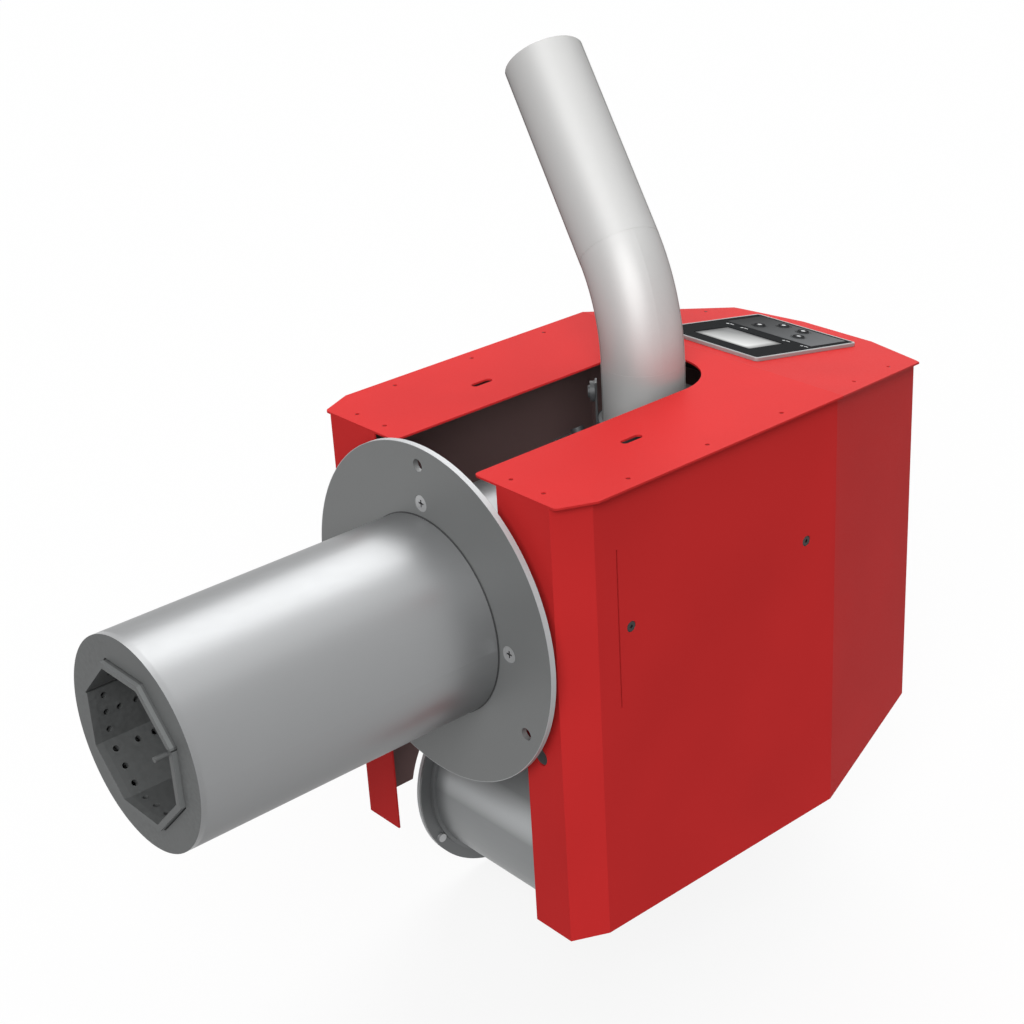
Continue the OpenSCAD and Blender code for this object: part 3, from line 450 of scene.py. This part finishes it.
def circle(centre, radius, height, steps=32):
    """Points round a centre on the panel, at a height above the sheet."""
    turns = [2 * math.pi * i / steps for i in range(steps)]
    return [SLOPE @ Vector((centre.x + radius * math.cos(turn), centre.y + radius * math.sin(turn), height))
            for turn in turns]


def plate_outline(grow, height, steps=6):
    """The panel's outline with round corners, grown outwards, at a height above the sheet."""
    points = []
    radius = max(0.0003, PANEL_CORNER + grow)
    low = Vector((PANEL_LEFT - grow + radius, PANEL_TOP - grow + radius))
    high = Vector((PANEL_LEFT + PANEL_WIDTH + grow - radius, PANEL_TOP + PANEL_DEPTH + grow - radius))
    for quarter, corner in enumerate(((high.x, high.y), (low.x, high.y), (low.x, low.y), (high.x, low.y))):
        for i in range(steps + 1):
            turn = math.pi / 2 * (quarter + i / steps)
            across, down = corner[0] + radius * math.cos(turn), corner[1] + radius * math.sin(turn)
            points.append(SLOPE @ Vector((across, down, height)))
    return points


def ribs_tree():
    """Geometry Nodes: ribs standing on a circle round the Z axis."""
    tree = bpy.data.node_groups.new("ribs_round_axis", "GeometryNodeTree")
    for name, kind in (("Count", "NodeSocketInt"), ("Radius", "NodeSocketFloat"), ("Rib", "NodeSocketVector"),
                       ("Finish", "NodeSocketMaterial")):
        tree.interface.new_socket(name, in_out="INPUT", socket_type=kind)
    tree.interface.new_socket("Ribs", in_out="OUTPUT", socket_type="NodeSocketGeometry")
    given = tree.nodes.new("NodeGroupInput")
    result = tree.nodes.new("NodeGroupOutput")
    ring = tree.nodes.new("GeometryNodeMeshCircle")
    rib = tree.nodes.new("GeometryNodeMeshCube")
    where = tree.nodes.new("GeometryNodeInputPosition")
    turn = tree.nodes.new("FunctionNodeAlignRotationToVector")
    turn.axis = "X"
    spread = tree.nodes.new("GeometryNodeInstanceOnPoints")
    real = tree.nodes.new("GeometryNodeRealizeInstances")
    dress = tree.nodes.new("GeometryNodeSetMaterial")
    links = ((given.outputs["Count"], ring.inputs["Vertices"]),
             (given.outputs["Radius"], ring.inputs["Radius"]),
             (given.outputs["Rib"], rib.inputs["Size"]), (where.outputs[0], turn.inputs["Vector"]),
             (ring.outputs[0], spread.inputs["Points"]), (rib.outputs["Mesh"], spread.inputs["Instance"]),
             (turn.outputs[0], spread.inputs["Rotation"]), (spread.outputs[0], real.inputs[0]),
             (real.outputs[0], dress.inputs["Geometry"]), (given.outputs["Finish"], dress.inputs["Material"]),
             (dress.outputs[0], result.inputs[0]))
    for start, end in links:
        tree.links.new(start, end)
    return tree


def grown(name, tree, values):
    """The plain mesh that a Geometry Nodes tree makes from these values."""
    host = bpy.data.objects.new(name, bpy.data.meshes.new(name))
    bpy.context.scene.collection.objects.link(host)
    modifier = host.modifiers.new("ribs", "NODES")
    modifier.node_group = tree
    for socket in tree.interface.items_tree:
        if socket.in_out == "INPUT":
            modifier[socket.identifier] = values[socket.name]
    ready = host.evaluated_get(bpy.context.evaluated_depsgraph_get())
    mesh = bpy.data.meshes.new_from_object(ready)
    host.modifiers.clear()
    bpy.data.objects.remove(host)
    return mesh


# Operators


class BURNER_OT_finish_cover(bpy.types.Operator):
    """Red powder coat on the cover's sheets, and the coat darkened on the rivets as painted shade"""
    bl_idname = "burner.finish_cover"
    bl_label = "Cover finish"

    def execute(self, context):
        look = context.scene.burner_finish
        red = powder_coat("red_coat", look.coat, inside=COVER_MIDDLE)
        paint_nodes(red, "right_panel", "left_panel", "top_cover", "rear_panel")
        # Painted shade: the rivets take the red coat darkened, for the shade round their sunk heads
        paint_nodes(powder_coat("rivet_coat_painted_shade", shade(look.coat, 0.45), 0.42), "top_rivets")
        return {"FINISHED"}


class BURNER_OT_finish_tube(bpy.types.Operator):
    """Satin, matte and heat-stained steel on the flame tube, flange, grate and rear body"""
    bl_idname = "burner.finish_tube"
    bl_label = "Tube and flange finish"

    def execute(self, context):
        look = context.scene.burner_finish
        tube = metal("satin_tube", shade(look.tube, 1.04), 0.58, (0.32, 0.38), (1, 0.3, 1), 300.0,
                     contrast=0.012, cloud=0.02, bump=0.004, specular=0.6, edge=0.5)[0]
        paint_nodes(tube, "burner_tube", "rear_body")
        material, tree, shader, tone = metal("flange_plate", look.flange, 0.15, (0.42, 0.54),
                                             contrast=0.05, specular=0.4)
        rim = beyond(tree, place(tree), (1, 0, 1), FLANGE_RIM)
        tree.links.new(blend(tree, rim, tone, CUT_EDGE), shader.inputs["Base Color"])
        paint_nodes(material, "mounting_flange")
        plate = metal("matte_plate", shade(look.flange, 1.15), 0.2, (0.42, 0.54))[0]
        paint_nodes(plate, "front_ring", "rear_ring", "back_plate", "tube_bulkhead")
        end, tree, shader, tone = metal("end_ring_steel", look.hot, 0.35, (0.5, 0.68), grain_scale=300.0,
                                        contrast=0.16, cloud=0.2)
        rim = outward(tree, flat=(1, 0, 1), least=0.06)
        tree.links.new(blend(tree, rim, tone, look.tube), shader.inputs["Base Color"])
        tree.links.new(between(tree, rim, 0.6, 0.34), shader.inputs["Roughness"])
        paint_nodes(end, "tube_end_ring")
        grate = metal("grate_steel", shade(look.hot, 0.9), 0.35, (0.5, 0.7), grain_scale=300.0, contrast=0.16,
                      cloud=0.22)[0]
        paint_nodes(grate, "grate_upper", "grate_lower", "grate_back", "grate_rails")
        return {"FINISHED"}


class BURNER_OT_finish_feed(bpy.types.Operator):
    """Pale steel on the feed pipe and plain finishes on the feeding parts"""
    bl_idname = "burner.finish_feed"
    bl_label = "Feed finish"

    def execute(self, context):
        look = context.scene.burner_finish
        pipe = metal("pale_pipe", look.pipe, 0.5, (0.50, 0.58), grain_scale=260.0, contrast=0.02,
                     cloud=0.02, bump=0.01, specular=0.0, edge=0.0)[0]
        paint_nodes(pipe, "feed_pipe")
        zinc = metal("galvanised", look.zinc, 0.3, (0.36, 0.52), grain_scale=120.0, contrast=0.1,
                     cloud=0.08)[0]
        paint_nodes(zinc, "feed_tube", "feed_screw", "inlet_socket", "igniter_tube", "sight_tube", "air_duct",
                    "impeller", "cover_brackets")
        enamel = powder_coat("motor_enamel", MOTOR_ENAMEL, 0.42)
        paint_nodes(enamel, "gearbox", "feed_motor", "blower_motor")
        bronze = metal("bush_bronze", (0.46, 0.30, 0.12), 0.9, (0.25, 0.35))[0]
        paint_nodes(bronze, "screw_bush")
        paint_nodes(plastic("ceramic", (0.66, 0.62, 0.56), 0.55, 900.0), "igniter")
        paint_nodes(plastic("sensor_black", (0.014, 0.014, 0.015)), "flame_sensor")
        return {"FINISHED"}


class BURNER_OT_finish_hardware(bpy.types.Operator):
    """Zinc on the screws with painted shade in the flange screws' recesses, steel darkened by painted shade
    on the clamp and sensors, and greys and black on the blower with painted highlight and shade on its drum
    """
    bl_idname = "burner.finish_hardware"
    bl_label = "Hardware finish"

    def execute(self, context):
        look = context.scene.burner_finish
        screw = metal("zinc_screw", SCREW_STEEL, 0.5, (0.26, 0.36), grain_scale=1400.0, contrast=0.08)[0]
        paint_nodes(screw, "back_screws", "blower_screws")
        material, tree, shader, tone = metal("countersunk_screw", SCREW_STEEL, 0.4, (0.26, 0.36))
        # Painted shade: the cross recess, deeper than the head's face, is painted near-black
        painted_recess_shade = between(tree, along(tree, "Y"), 0.0, 1.0, 0.0003, 0.0007)
        tree.links.new(blend(tree, painted_recess_shade, tone, (0.03, 0.03, 0.032)), shader.inputs["Base Color"])
        paint_nodes(material, "flange_screws")
        dark = metal("dark_screw", (0.022, 0.020, 0.020), 0.4, (0.24, 0.32), grain_scale=1400.0)[0]
        paint_nodes(dark, "side_screws")
        # Painted shade: the clamp and sensors are steel darkened to near-black for the shade they sit in
        shade_darkened = metal("shade_darkened_steel", (0.06, 0.062, 0.065), 0.2, (0.45, 0.55))[0]
        paint_nodes(shade_darkened, "pipe_sensor", "pipe_clamp", "clamp_screw", "backfire_sensor")
        drum, tree, shader, tone = metal("drum_sheet", look.zinc, 0.28, (0.36, 0.46), (0.08, 1, 1), 500.0,
                                         contrast=0.04)
        # Painted highlight: a lighter band along the drum where it faces forward and slightly up
        painted_highlight = between(tree, facing(tree, DRUM_HIGHLIGHT), 0.0, 1.0, 0.975, 1.0)
        tone = blend(tree, painted_highlight, tone, shade(look.zinc, 1.9))
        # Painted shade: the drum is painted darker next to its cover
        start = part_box("blower_drum")[0][0]
        clear = between(tree, along(tree, "X"), 0.0, 1.0, start, start + DRUM_SHADE)
        tree.links.new(blend(tree, clear, shade(look.zinc, 0.5), tone), shader.inputs["Base Color"])
        paint_nodes(drum, "blower_drum")
        material, tree, shader, tone = metal("drum_cover", look.flange, 0.15, (0.4, 0.54), specular=0.4)
        rim = beyond(tree, place(tree, move=[-c for c in BLOWER_AXIS]), (0, 1, 1), BLOWER_RIM)
        tree.links.new(blend(tree, rim, tone, CUT_EDGE), shader.inputs["Base Color"])
        paint_nodes(material, "blower_cover")
        black = plastic("moulded_black", (0.016, 0.016, 0.017))
        paint_nodes(black, "intake_grille", "control_tray", "power_inlet", "key_switches")
        return {"FINISHED"}


class BURNER_OT_finish_panel(bpy.types.Operator):
    """Blacks, greys and the display of the control panel, with a painted reflection across the keypad and the
    display
    """
    bl_idname = "burner.finish_panel"
    bl_label = "Panel finish"

    def execute(self, context):
        paint_nodes(plastic("panel_black", (0.009, 0.010, 0.011), 0.7, 1200.0, 0.02, 0.02), "panel_frame")
        material, tree, shader = new_finish("keypad_grey")
        across, down = panel_point(tree, KEYPAD)
        # Painted reflection: the keypad is painted dark at one side, growing lighter across it
        tone = blend(tree, between(tree, across, 0.0, 1.0, -0.9, 0.9), (0.020, 0.021, 0.022),
                     (0.13, 0.135, 0.14))
        tree.links.new(tone, shader.inputs["Base Color"])
        tree.links.new(between(tree, noise(tree, place(tree), 900.0), 0.5, 0.6), shader.inputs["Roughness"])
        shader.inputs["Specular IOR Level"].default_value = 0.03
        paint_nodes(material, "keypad")
        paint_nodes(plastic("button_grey", (0.060, 0.062, 0.065), 0.6, specular=0.04), "button_1", "button_2",
                    "button_3", "button_4")
        paint_nodes(plastic("lamp_clear", (0.60, 0.62, 0.62), 0.2, 400.0, 0.01, 0.5), "status_lamps")
        paint_nodes(plastic("board_green", (0.012, 0.09, 0.045), 0.4, 500.0), "control_board")
        material, tree, shader = new_finish("display")
        across, down = panel_point(tree, DISPLAY)
        # Painted reflection: a sweep from dark to silver runs slantwise across the display, which is also
        # darker towards its edges
        painted_reflection_sweep = maths(tree, "SUBTRACT", across, down)
        tone = blend(tree, between(tree, painted_reflection_sweep, 0.0, 1.0, -1.1, 1.2), (0.13, 0.135, 0.135),
                     (0.70, 0.71, 0.70))
        for value in (across, down):
            border = between(tree, maths(tree, "ABSOLUTE", value), 0.0, 1.0, 0.72, 1.0)
            tone = blend(tree, border, tone, (0.03, 0.031, 0.032))
        tree.links.new(tone, shader.inputs["Base Color"])
        tree.links.new(between(tree, noise(tree, place(tree), 200.0), 0.3, 0.4), shader.inputs["Roughness"])
        shader.inputs["Specular IOR Level"].default_value = 0.2
        paint_nodes(material, "lcd_window")
        return {"FINISHED"}


class BURNER_OT_add_panel_trim(bpy.types.Operator):
    """Silver border round the control panel, and a plain mark beside each lamp"""
    bl_idname = "burner.add_panel_trim"
    bl_label = "Panel trim"

    def execute(self, context):
        width = context.scene.burner_detail.trim_width
        silver = metal("bright_trim", (0.36, 0.36, 0.36), 0.3, (0.35, 0.45), grain_scale=600.0,
                       contrast=0.03)[0]
        high = PANEL_THICK + TRIM_RISE
        profile = ((TRIM_PROUD, TRIM_FOOT), (TRIM_PROUD, high - TRIM_BEVEL),
                   (TRIM_PROUD - TRIM_RISE, high), (-width, high), (-width, PANEL_THICK - 2 * TRIM_RISE))
        loops = [plate_outline(grow, height) for grow, height in profile]
        piece("panel_trim", band_mesh("panel_trim", loops), "burner", silver)
        marks = []
        length, depth = Vector((MARK_LENGTH, 0, 0)), Vector((0, MARK_WIDTH, 0))
        rise = SLOPE.to_3x3() @ Vector((0, 0, 2 * PRINT_SINK))
        for across in LAMP_PLACES:
            start = panel_place(across, LAMP_ROW, PANEL_THICK - PRINT_SINK) + MARK_START
            corners = (start, start + length, start + length + depth, start + depth)
            marks.append(bar_mesh("mark", [SLOPE @ corner for corner in corners], rise))
        white = plastic("mark_white", (0.62, 0.63, 0.63), 0.5)
        piece("lamp_marks", joined("lamp_marks", marks), "burner", white)
        return {"FINISHED"}


class BURNER_OT_add_button_rings(bpy.types.Operator):
    """A dark ring and a pale dot on each push button"""
    bl_idname = "burner.add_button_rings"
    bl_label = "Button rings"

    def execute(self, context):
        dark = plastic("ring_black", (0.004, 0.004, 0.005), 0.6, specular=0.02)
        pale = plastic("dot_grey", (0.62, 0.63, 0.64), 0.5)
        low, high = BUTTON_TOP - PRINT_SINK, BUTTON_TOP + PRINT_SINK
        face_low, face_high = PANEL_THICK - PRINT_SINK, PANEL_THICK + PRINT_RISE
        rise = SLOPE.to_3x3() @ Vector((0, 0, high - low))
        surrounds = []
        for number, (across, down) in enumerate(BUTTON_PLACES, 1):
            button, centre = f"button_{number}", panel_place(across, down)
            piece(f"{button}_ring", self.ring(centre, BUTTON_RING, low, high), button, dark)
            piece(f"{button}_dot", bar_mesh("dot", circle(centre, DOT_RADIUS, low, 20), rise), button, pale)
            surrounds.append(self.ring(centre, SURROUND_RING, face_low, face_high))
        piece("button_surrounds", joined("button_surrounds", surrounds), "burner", dark)
        return {"FINISHED"}

    def ring(self, centre, radii, low, high):
        """A flat ring on the panel, outer and inner radius given, between two heights."""
        outer, inner = radii
        return band_mesh("ring", [circle(centre, outer, low), circle(centre, outer, high),
                                  circle(centre, inner, high), circle(centre, inner, low)])


class BURNER_OT_add_grate_lips(bpy.types.Operator):
    """The front edges of the grate's two shells, which stand out of the mouth"""
    bl_idname = "burner.add_grate_lips"
    bl_label = "Grate lips"

    def execute(self, context):
        look, lip = context.scene.burner_finish, context.scene.burner_detail.lip
        steel, tree, shader, tone = metal("lip_steel", look.hot, 0.35, (0.5, 0.68), grain_scale=300.0,
                                          contrast=0.16, cloud=0.2)
        # Painted highlight: the shells' outer walls are painted lighter than their front edges
        outer_wall_highlight = outward(tree, flat=(1, 0, 1), least=0.04)
        tree.links.new(blend(tree, outer_wall_highlight, tone, shade(look.hot, 1.7)), shader.inputs["Base Color"])
        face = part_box("tube_end_ring")[0][1]
        upper = self.lip("grate_lip_upper", 1, SHELL_SPLIT_UPPER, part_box("grate_upper")[0][1], face - lip)
        piece("grate_lip_upper", upper, "grate_insert", steel)
        start, end = face + LOWER_RECESS, face - lip * LOWER_SHARE
        lower = self.lip("grate_lip_lower", -1, -SHELL_SPLIT_LOWER, start, end)
        piece("grate_lip_lower", lower, "grate_insert", steel)
        return {"FINISHED"}

    def lip(self, name, side, split, start, end):
        """A shell's wall from one place on the tube's axis to another."""
        outline = [(x, start, z) for x, z in self.shell(side, split)]
        return bar_mesh(name, outline, Vector((0, end - start, 0)))

    def shell(self, side, split):
        """Half of the octagonal wall: out along its outer face and back along its inner face."""
        path = self.corners(SHELL_FLAT, split) + self.corners(SHELL_INNER, split)[::-1]
        return [(x, z * side) for x, z in path]

    def corners(self, flat, split):
        """Corners of an octagon above the split, from its right end over the top to its left end."""
        right = [(flat, split), (flat, flat * OCTAGON_SLANT), (flat * OCTAGON_SLANT, flat)]
        return right + [(-x, z) for x, z in reversed(right)]


class BURNER_OT_add_seam(bpy.types.Operator):
    """A narrow dark joint line where the tube meets the flange"""
    bl_idname = "burner.add_seam"
    bl_label = "Joint line"

    def execute(self, context):
        dark = metal("seam_dark", (0.03, 0.031, 0.032), 0.1, (0.5, 0.6))[0]
        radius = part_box("burner_tube")[1][0]
        loops = [self.ring(y, radius + grow) for y, grow in SEAM_PROFILE]
        piece("tube_seam", band_mesh("tube_seam", loops), "burner", dark)
        return {"FINISHED"}

    def ring(self, y, radius, steps=96):
        """Points on a circle round the tube's axis."""
        turns = [2 * math.pi * i / steps for i in range(steps)]
        return [Vector((radius * math.cos(t), y, radius * math.sin(t))) for t in turns]


class BURNER_OT_add_inlet_pins(bpy.types.Operator):
    """The three flat contacts in the power inlet"""
    bl_idname = "burner.add_inlet_pins"
    bl_label = "Inlet pins"

    def execute(self, context):
        low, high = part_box("power_inlet")
        back, middle = high[1] - INLET_FLOOR, (low[2] + high[2]) / 2
        bright = metal("contact_plate", (0.50, 0.49, 0.46), 0.7, (0.22, 0.32), grain_scale=900.0)[0]
        pins = []
        for x, z in INLET_PINS:
            left, right = x - PIN_HALF_WIDTH, x + PIN_HALF_WIDTH
            bottom, top = middle + z - PIN_HALF_HEIGHT, middle + z + PIN_HALF_HEIGHT
            corners = [(left, back, bottom), (right, back, bottom), (right, back, top), (left, back, top)]
            pins.append(bar_mesh("pin", corners, Vector((0, PIN_LENGTH, 0))))
        piece("inlet_pins", joined("inlet_pins", pins), "burner", bright)
        return {"FINISHED"}


class BURNER_OT_add_motor_ribs(bpy.types.Operator):
    """Cooling ribs round the feed motor"""
    bl_idname = "burner.add_motor_ribs"
    bl_label = "Motor ribs"

    def execute(self, context):
        low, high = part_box("feed_motor")
        length = high[1] - low[1] - RIB_MARGIN
        enamel = powder_coat("rib_enamel", MOTOR_ENAMEL, 0.42)
        values = {"Count": context.scene.burner_detail.motor_ribs, "Radius": MOTOR_RADIUS + RIB_STAND,
                  "Rib": (RIB_DEPTH, RIB_WIDTH, length), "Finish": enamel}
        mesh = grown("motor_ribs", ribs_tree(), values)
        middle = Vector((0, low[1] + RIB_START + length / 2, MOTOR_CENTRE_Z))
        mesh.transform(Matrix.Translation(middle) @ Matrix.Rotation(math.radians(90), 4, "X"))
        piece("motor_ribs", mesh, "burner", enamel)
        return {"FINISHED"}


class BURNER_OT_set_camera(bpy.types.Operator):
    """Camera at the burner's three-quarter view from above"""
    bl_idname = "burner.set_camera"
    bl_label = "Camera"

    def execute(self, context):
        settings = context.scene.burner_camera
        azimuth, elevation, roll = settings.azimuth, settings.elevation, settings.roll
        back = Vector((math.sin(azimuth) * math.cos(elevation), -math.cos(azimuth) * math.cos(elevation),
                       math.sin(elevation)))
        level = Vector((math.cos(azimuth), math.sin(azimuth), 0.0))
        upright = back.cross(level)
        right = level * math.cos(roll) + upright * math.sin(roll)
        up = upright * math.cos(roll) - level * math.sin(roll)
        data = bpy.data.cameras.new("burner_camera")
        data.lens = settings.lens
        data.sensor_width = 36.0
        data.clip_start, data.clip_end = 0.05, 50.0
        camera = bpy.data.objects.new("burner_camera", data)
        turn = Matrix((right, up, back)).transposed().to_4x4()
        away, across, above = settings.offset
        camera.matrix_world = Matrix.Translation(back * away + right * across + up * above) @ turn
        context.scene.collection.objects.link(camera)
        context.scene.camera = camera
        return {"FINISHED"}


class BURNER_OT_set_stage(bpy.types.Operator):
    """Pale floor, white surroundings and soft lamps"""
    bl_idname = "burner.set_stage"
    bl_label = "Stage and lamps"

    def execute(self, context):
        settings = context.scene.burner_light
        self.floor(context, CAD_BOX[0].z - FLOOR_GAP)
        self.world(context, settings.sky)
        self.lamp(context, "key_lamp", settings.key, Vector(settings.key_from), 42.0)
        self.lamp(context, "top_lamp", settings.top, Vector((0.05, 0.1, 1.0)), 75.0)
        self.lamp(context, "fill_lamp", settings.fill, Vector((-0.40, 0.57, 0.72)), 45.0)
        context.scene.view_settings.view_transform = "Standard"
        return {"FINISHED"}

    def floor(self, context, height):
        mesh = bpy.data.meshes.new("floor")
        corners = [(x * FLOOR_HALF, y * FLOOR_HALF, height) for x, y in ((-1, -1), (1, -1), (1, 1), (-1, 1))]
        mesh.from_pydata(corners, [], [(0, 1, 2, 3)])
        floor = bpy.data.objects.new("floor", mesh)
        context.scene.collection.objects.link(floor)
        material, tree, shader = new_finish("pale_floor")
        path = tree.nodes.new("ShaderNodeLightPath")
        tree.links.new(blend(tree, path.outputs["Is Diffuse Ray"], (0.86, 0.86, 0.86), (0.13, 0.13, 0.13)),
                       shader.inputs["Base Color"])
        shader.inputs["Roughness"].default_value = 0.9
        shader.inputs["Specular IOR Level"].default_value = 0.0
        white = tree.nodes.new("ShaderNodeEmission")
        white.inputs["Color"].default_value = (0.995, 0.995, 0.995, 1)
        mix = tree.nodes.new("ShaderNodeMixShader")
        output = next(n for n in tree.nodes if n.type == "OUTPUT_MATERIAL")
        tree.links.new(maths(tree, "MULTIPLY", self.seen(tree, path), WHITE_SHARE), mix.inputs[0])
        tree.links.new(shader.outputs[0], mix.inputs[1])
        tree.links.new(white.outputs[0], mix.inputs[2])
        tree.links.new(mix.outputs[0], output.inputs["Surface"])
        mesh.materials.append(material)

    def world(self, context, strength):
        world = bpy.data.worlds.new("white_room")
        context.scene.world = world
        world.use_nodes = True
        tree = world.node_tree
        tree.nodes.clear()
        light = tree.nodes.new("ShaderNodeBackground")
        light.inputs["Color"].default_value = (1, 1, 1, 1)
        light.inputs["Strength"].default_value = strength
        white = tree.nodes.new("ShaderNodeBackground")
        white.inputs["Color"].default_value = (0.985, 0.985, 0.985, 1)
        path = tree.nodes.new("ShaderNodeLightPath")
        mix = tree.nodes.new("ShaderNodeMixShader")
        output = tree.nodes.new("ShaderNodeOutputWorld")
        tree.links.new(self.seen(tree, path), mix.inputs[0])
        tree.links.new(light.outputs[0], mix.inputs[1])
        tree.links.new(white.outputs[0], mix.inputs[2])
        tree.links.new(mix.outputs[0], output.inputs["Surface"])

    def seen(self, tree, path):
        """1 for rays from the camera, off a shiny surface or through a clear one."""
        total = path.outputs["Is Camera Ray"]
        for name in ("Is Glossy Ray", "Is Transmission Ray"):
            total = maths(tree, "MAXIMUM", total, path.outputs[name])
        return total

    def lamp(self, context, name, strength, source, spread):
        data = bpy.data.lights.new(name, "SUN")
        data.energy = strength
        data.angle = math.radians(spread)
        lamp = bpy.data.objects.new(name, data)
        lamp.rotation_euler = source.normalized().to_track_quat("Z", "Y").to_euler()
        context.scene.collection.objects.link(lamp)


class BURNER_PT_panel(bpy.types.Panel):
    """The burner's steps and settings"""
    bl_label = "Pellet burner"
    bl_idname = "BURNER_PT_panel"
    bl_space_type = "VIEW_3D"
    bl_region_type = "UI"
    bl_category = "Burner"

    def draw(self, context):
        for step in STEPS:
            self.layout.operator(step.bl_idname)
        for group in ("burner_camera", "burner_light", "burner_finish", "burner_detail"):
            settings = getattr(context.scene, group)
            for name in settings.__annotations__:
                self.layout.prop(settings, name)


GROUPS = {"burner_camera": BurnerCamera, "burner_light": BurnerLight, "burner_finish": BurnerFinish,
          "burner_detail": BurnerDetail}
STEPS = (BURNER_OT_finish_cover, BURNER_OT_finish_tube, BURNER_OT_finish_feed, BURNER_OT_finish_hardware,
         BURNER_OT_finish_panel, BURNER_OT_add_panel_trim, BURNER_OT_add_button_rings,
         BURNER_OT_add_grate_lips, BURNER_OT_add_seam, BURNER_OT_add_inlet_pins, BURNER_OT_add_motor_ribs,
         BURNER_OT_set_camera, BURNER_OT_set_stage)


def register():
    for group in (*GROUPS.values(), *STEPS, BURNER_PT_panel):
        bpy.utils.register_class(group)
    for name, group in GROUPS.items():
        setattr(bpy.types.Scene, name, PointerProperty(type=group))


def unregister():
    for name in GROUPS:
        delattr(bpy.types.Scene, name)
    for group in reversed((*GROUPS.values(), *STEPS, BURNER_PT_panel)):
        bpy.utils.unregister_class(group)


def main():
    register()
    for step in STEPS:
        family, action = step.bl_idname.split(".")
        getattr(getattr(bpy.ops, family), action)()


if __name__ == "__main__":
    main()
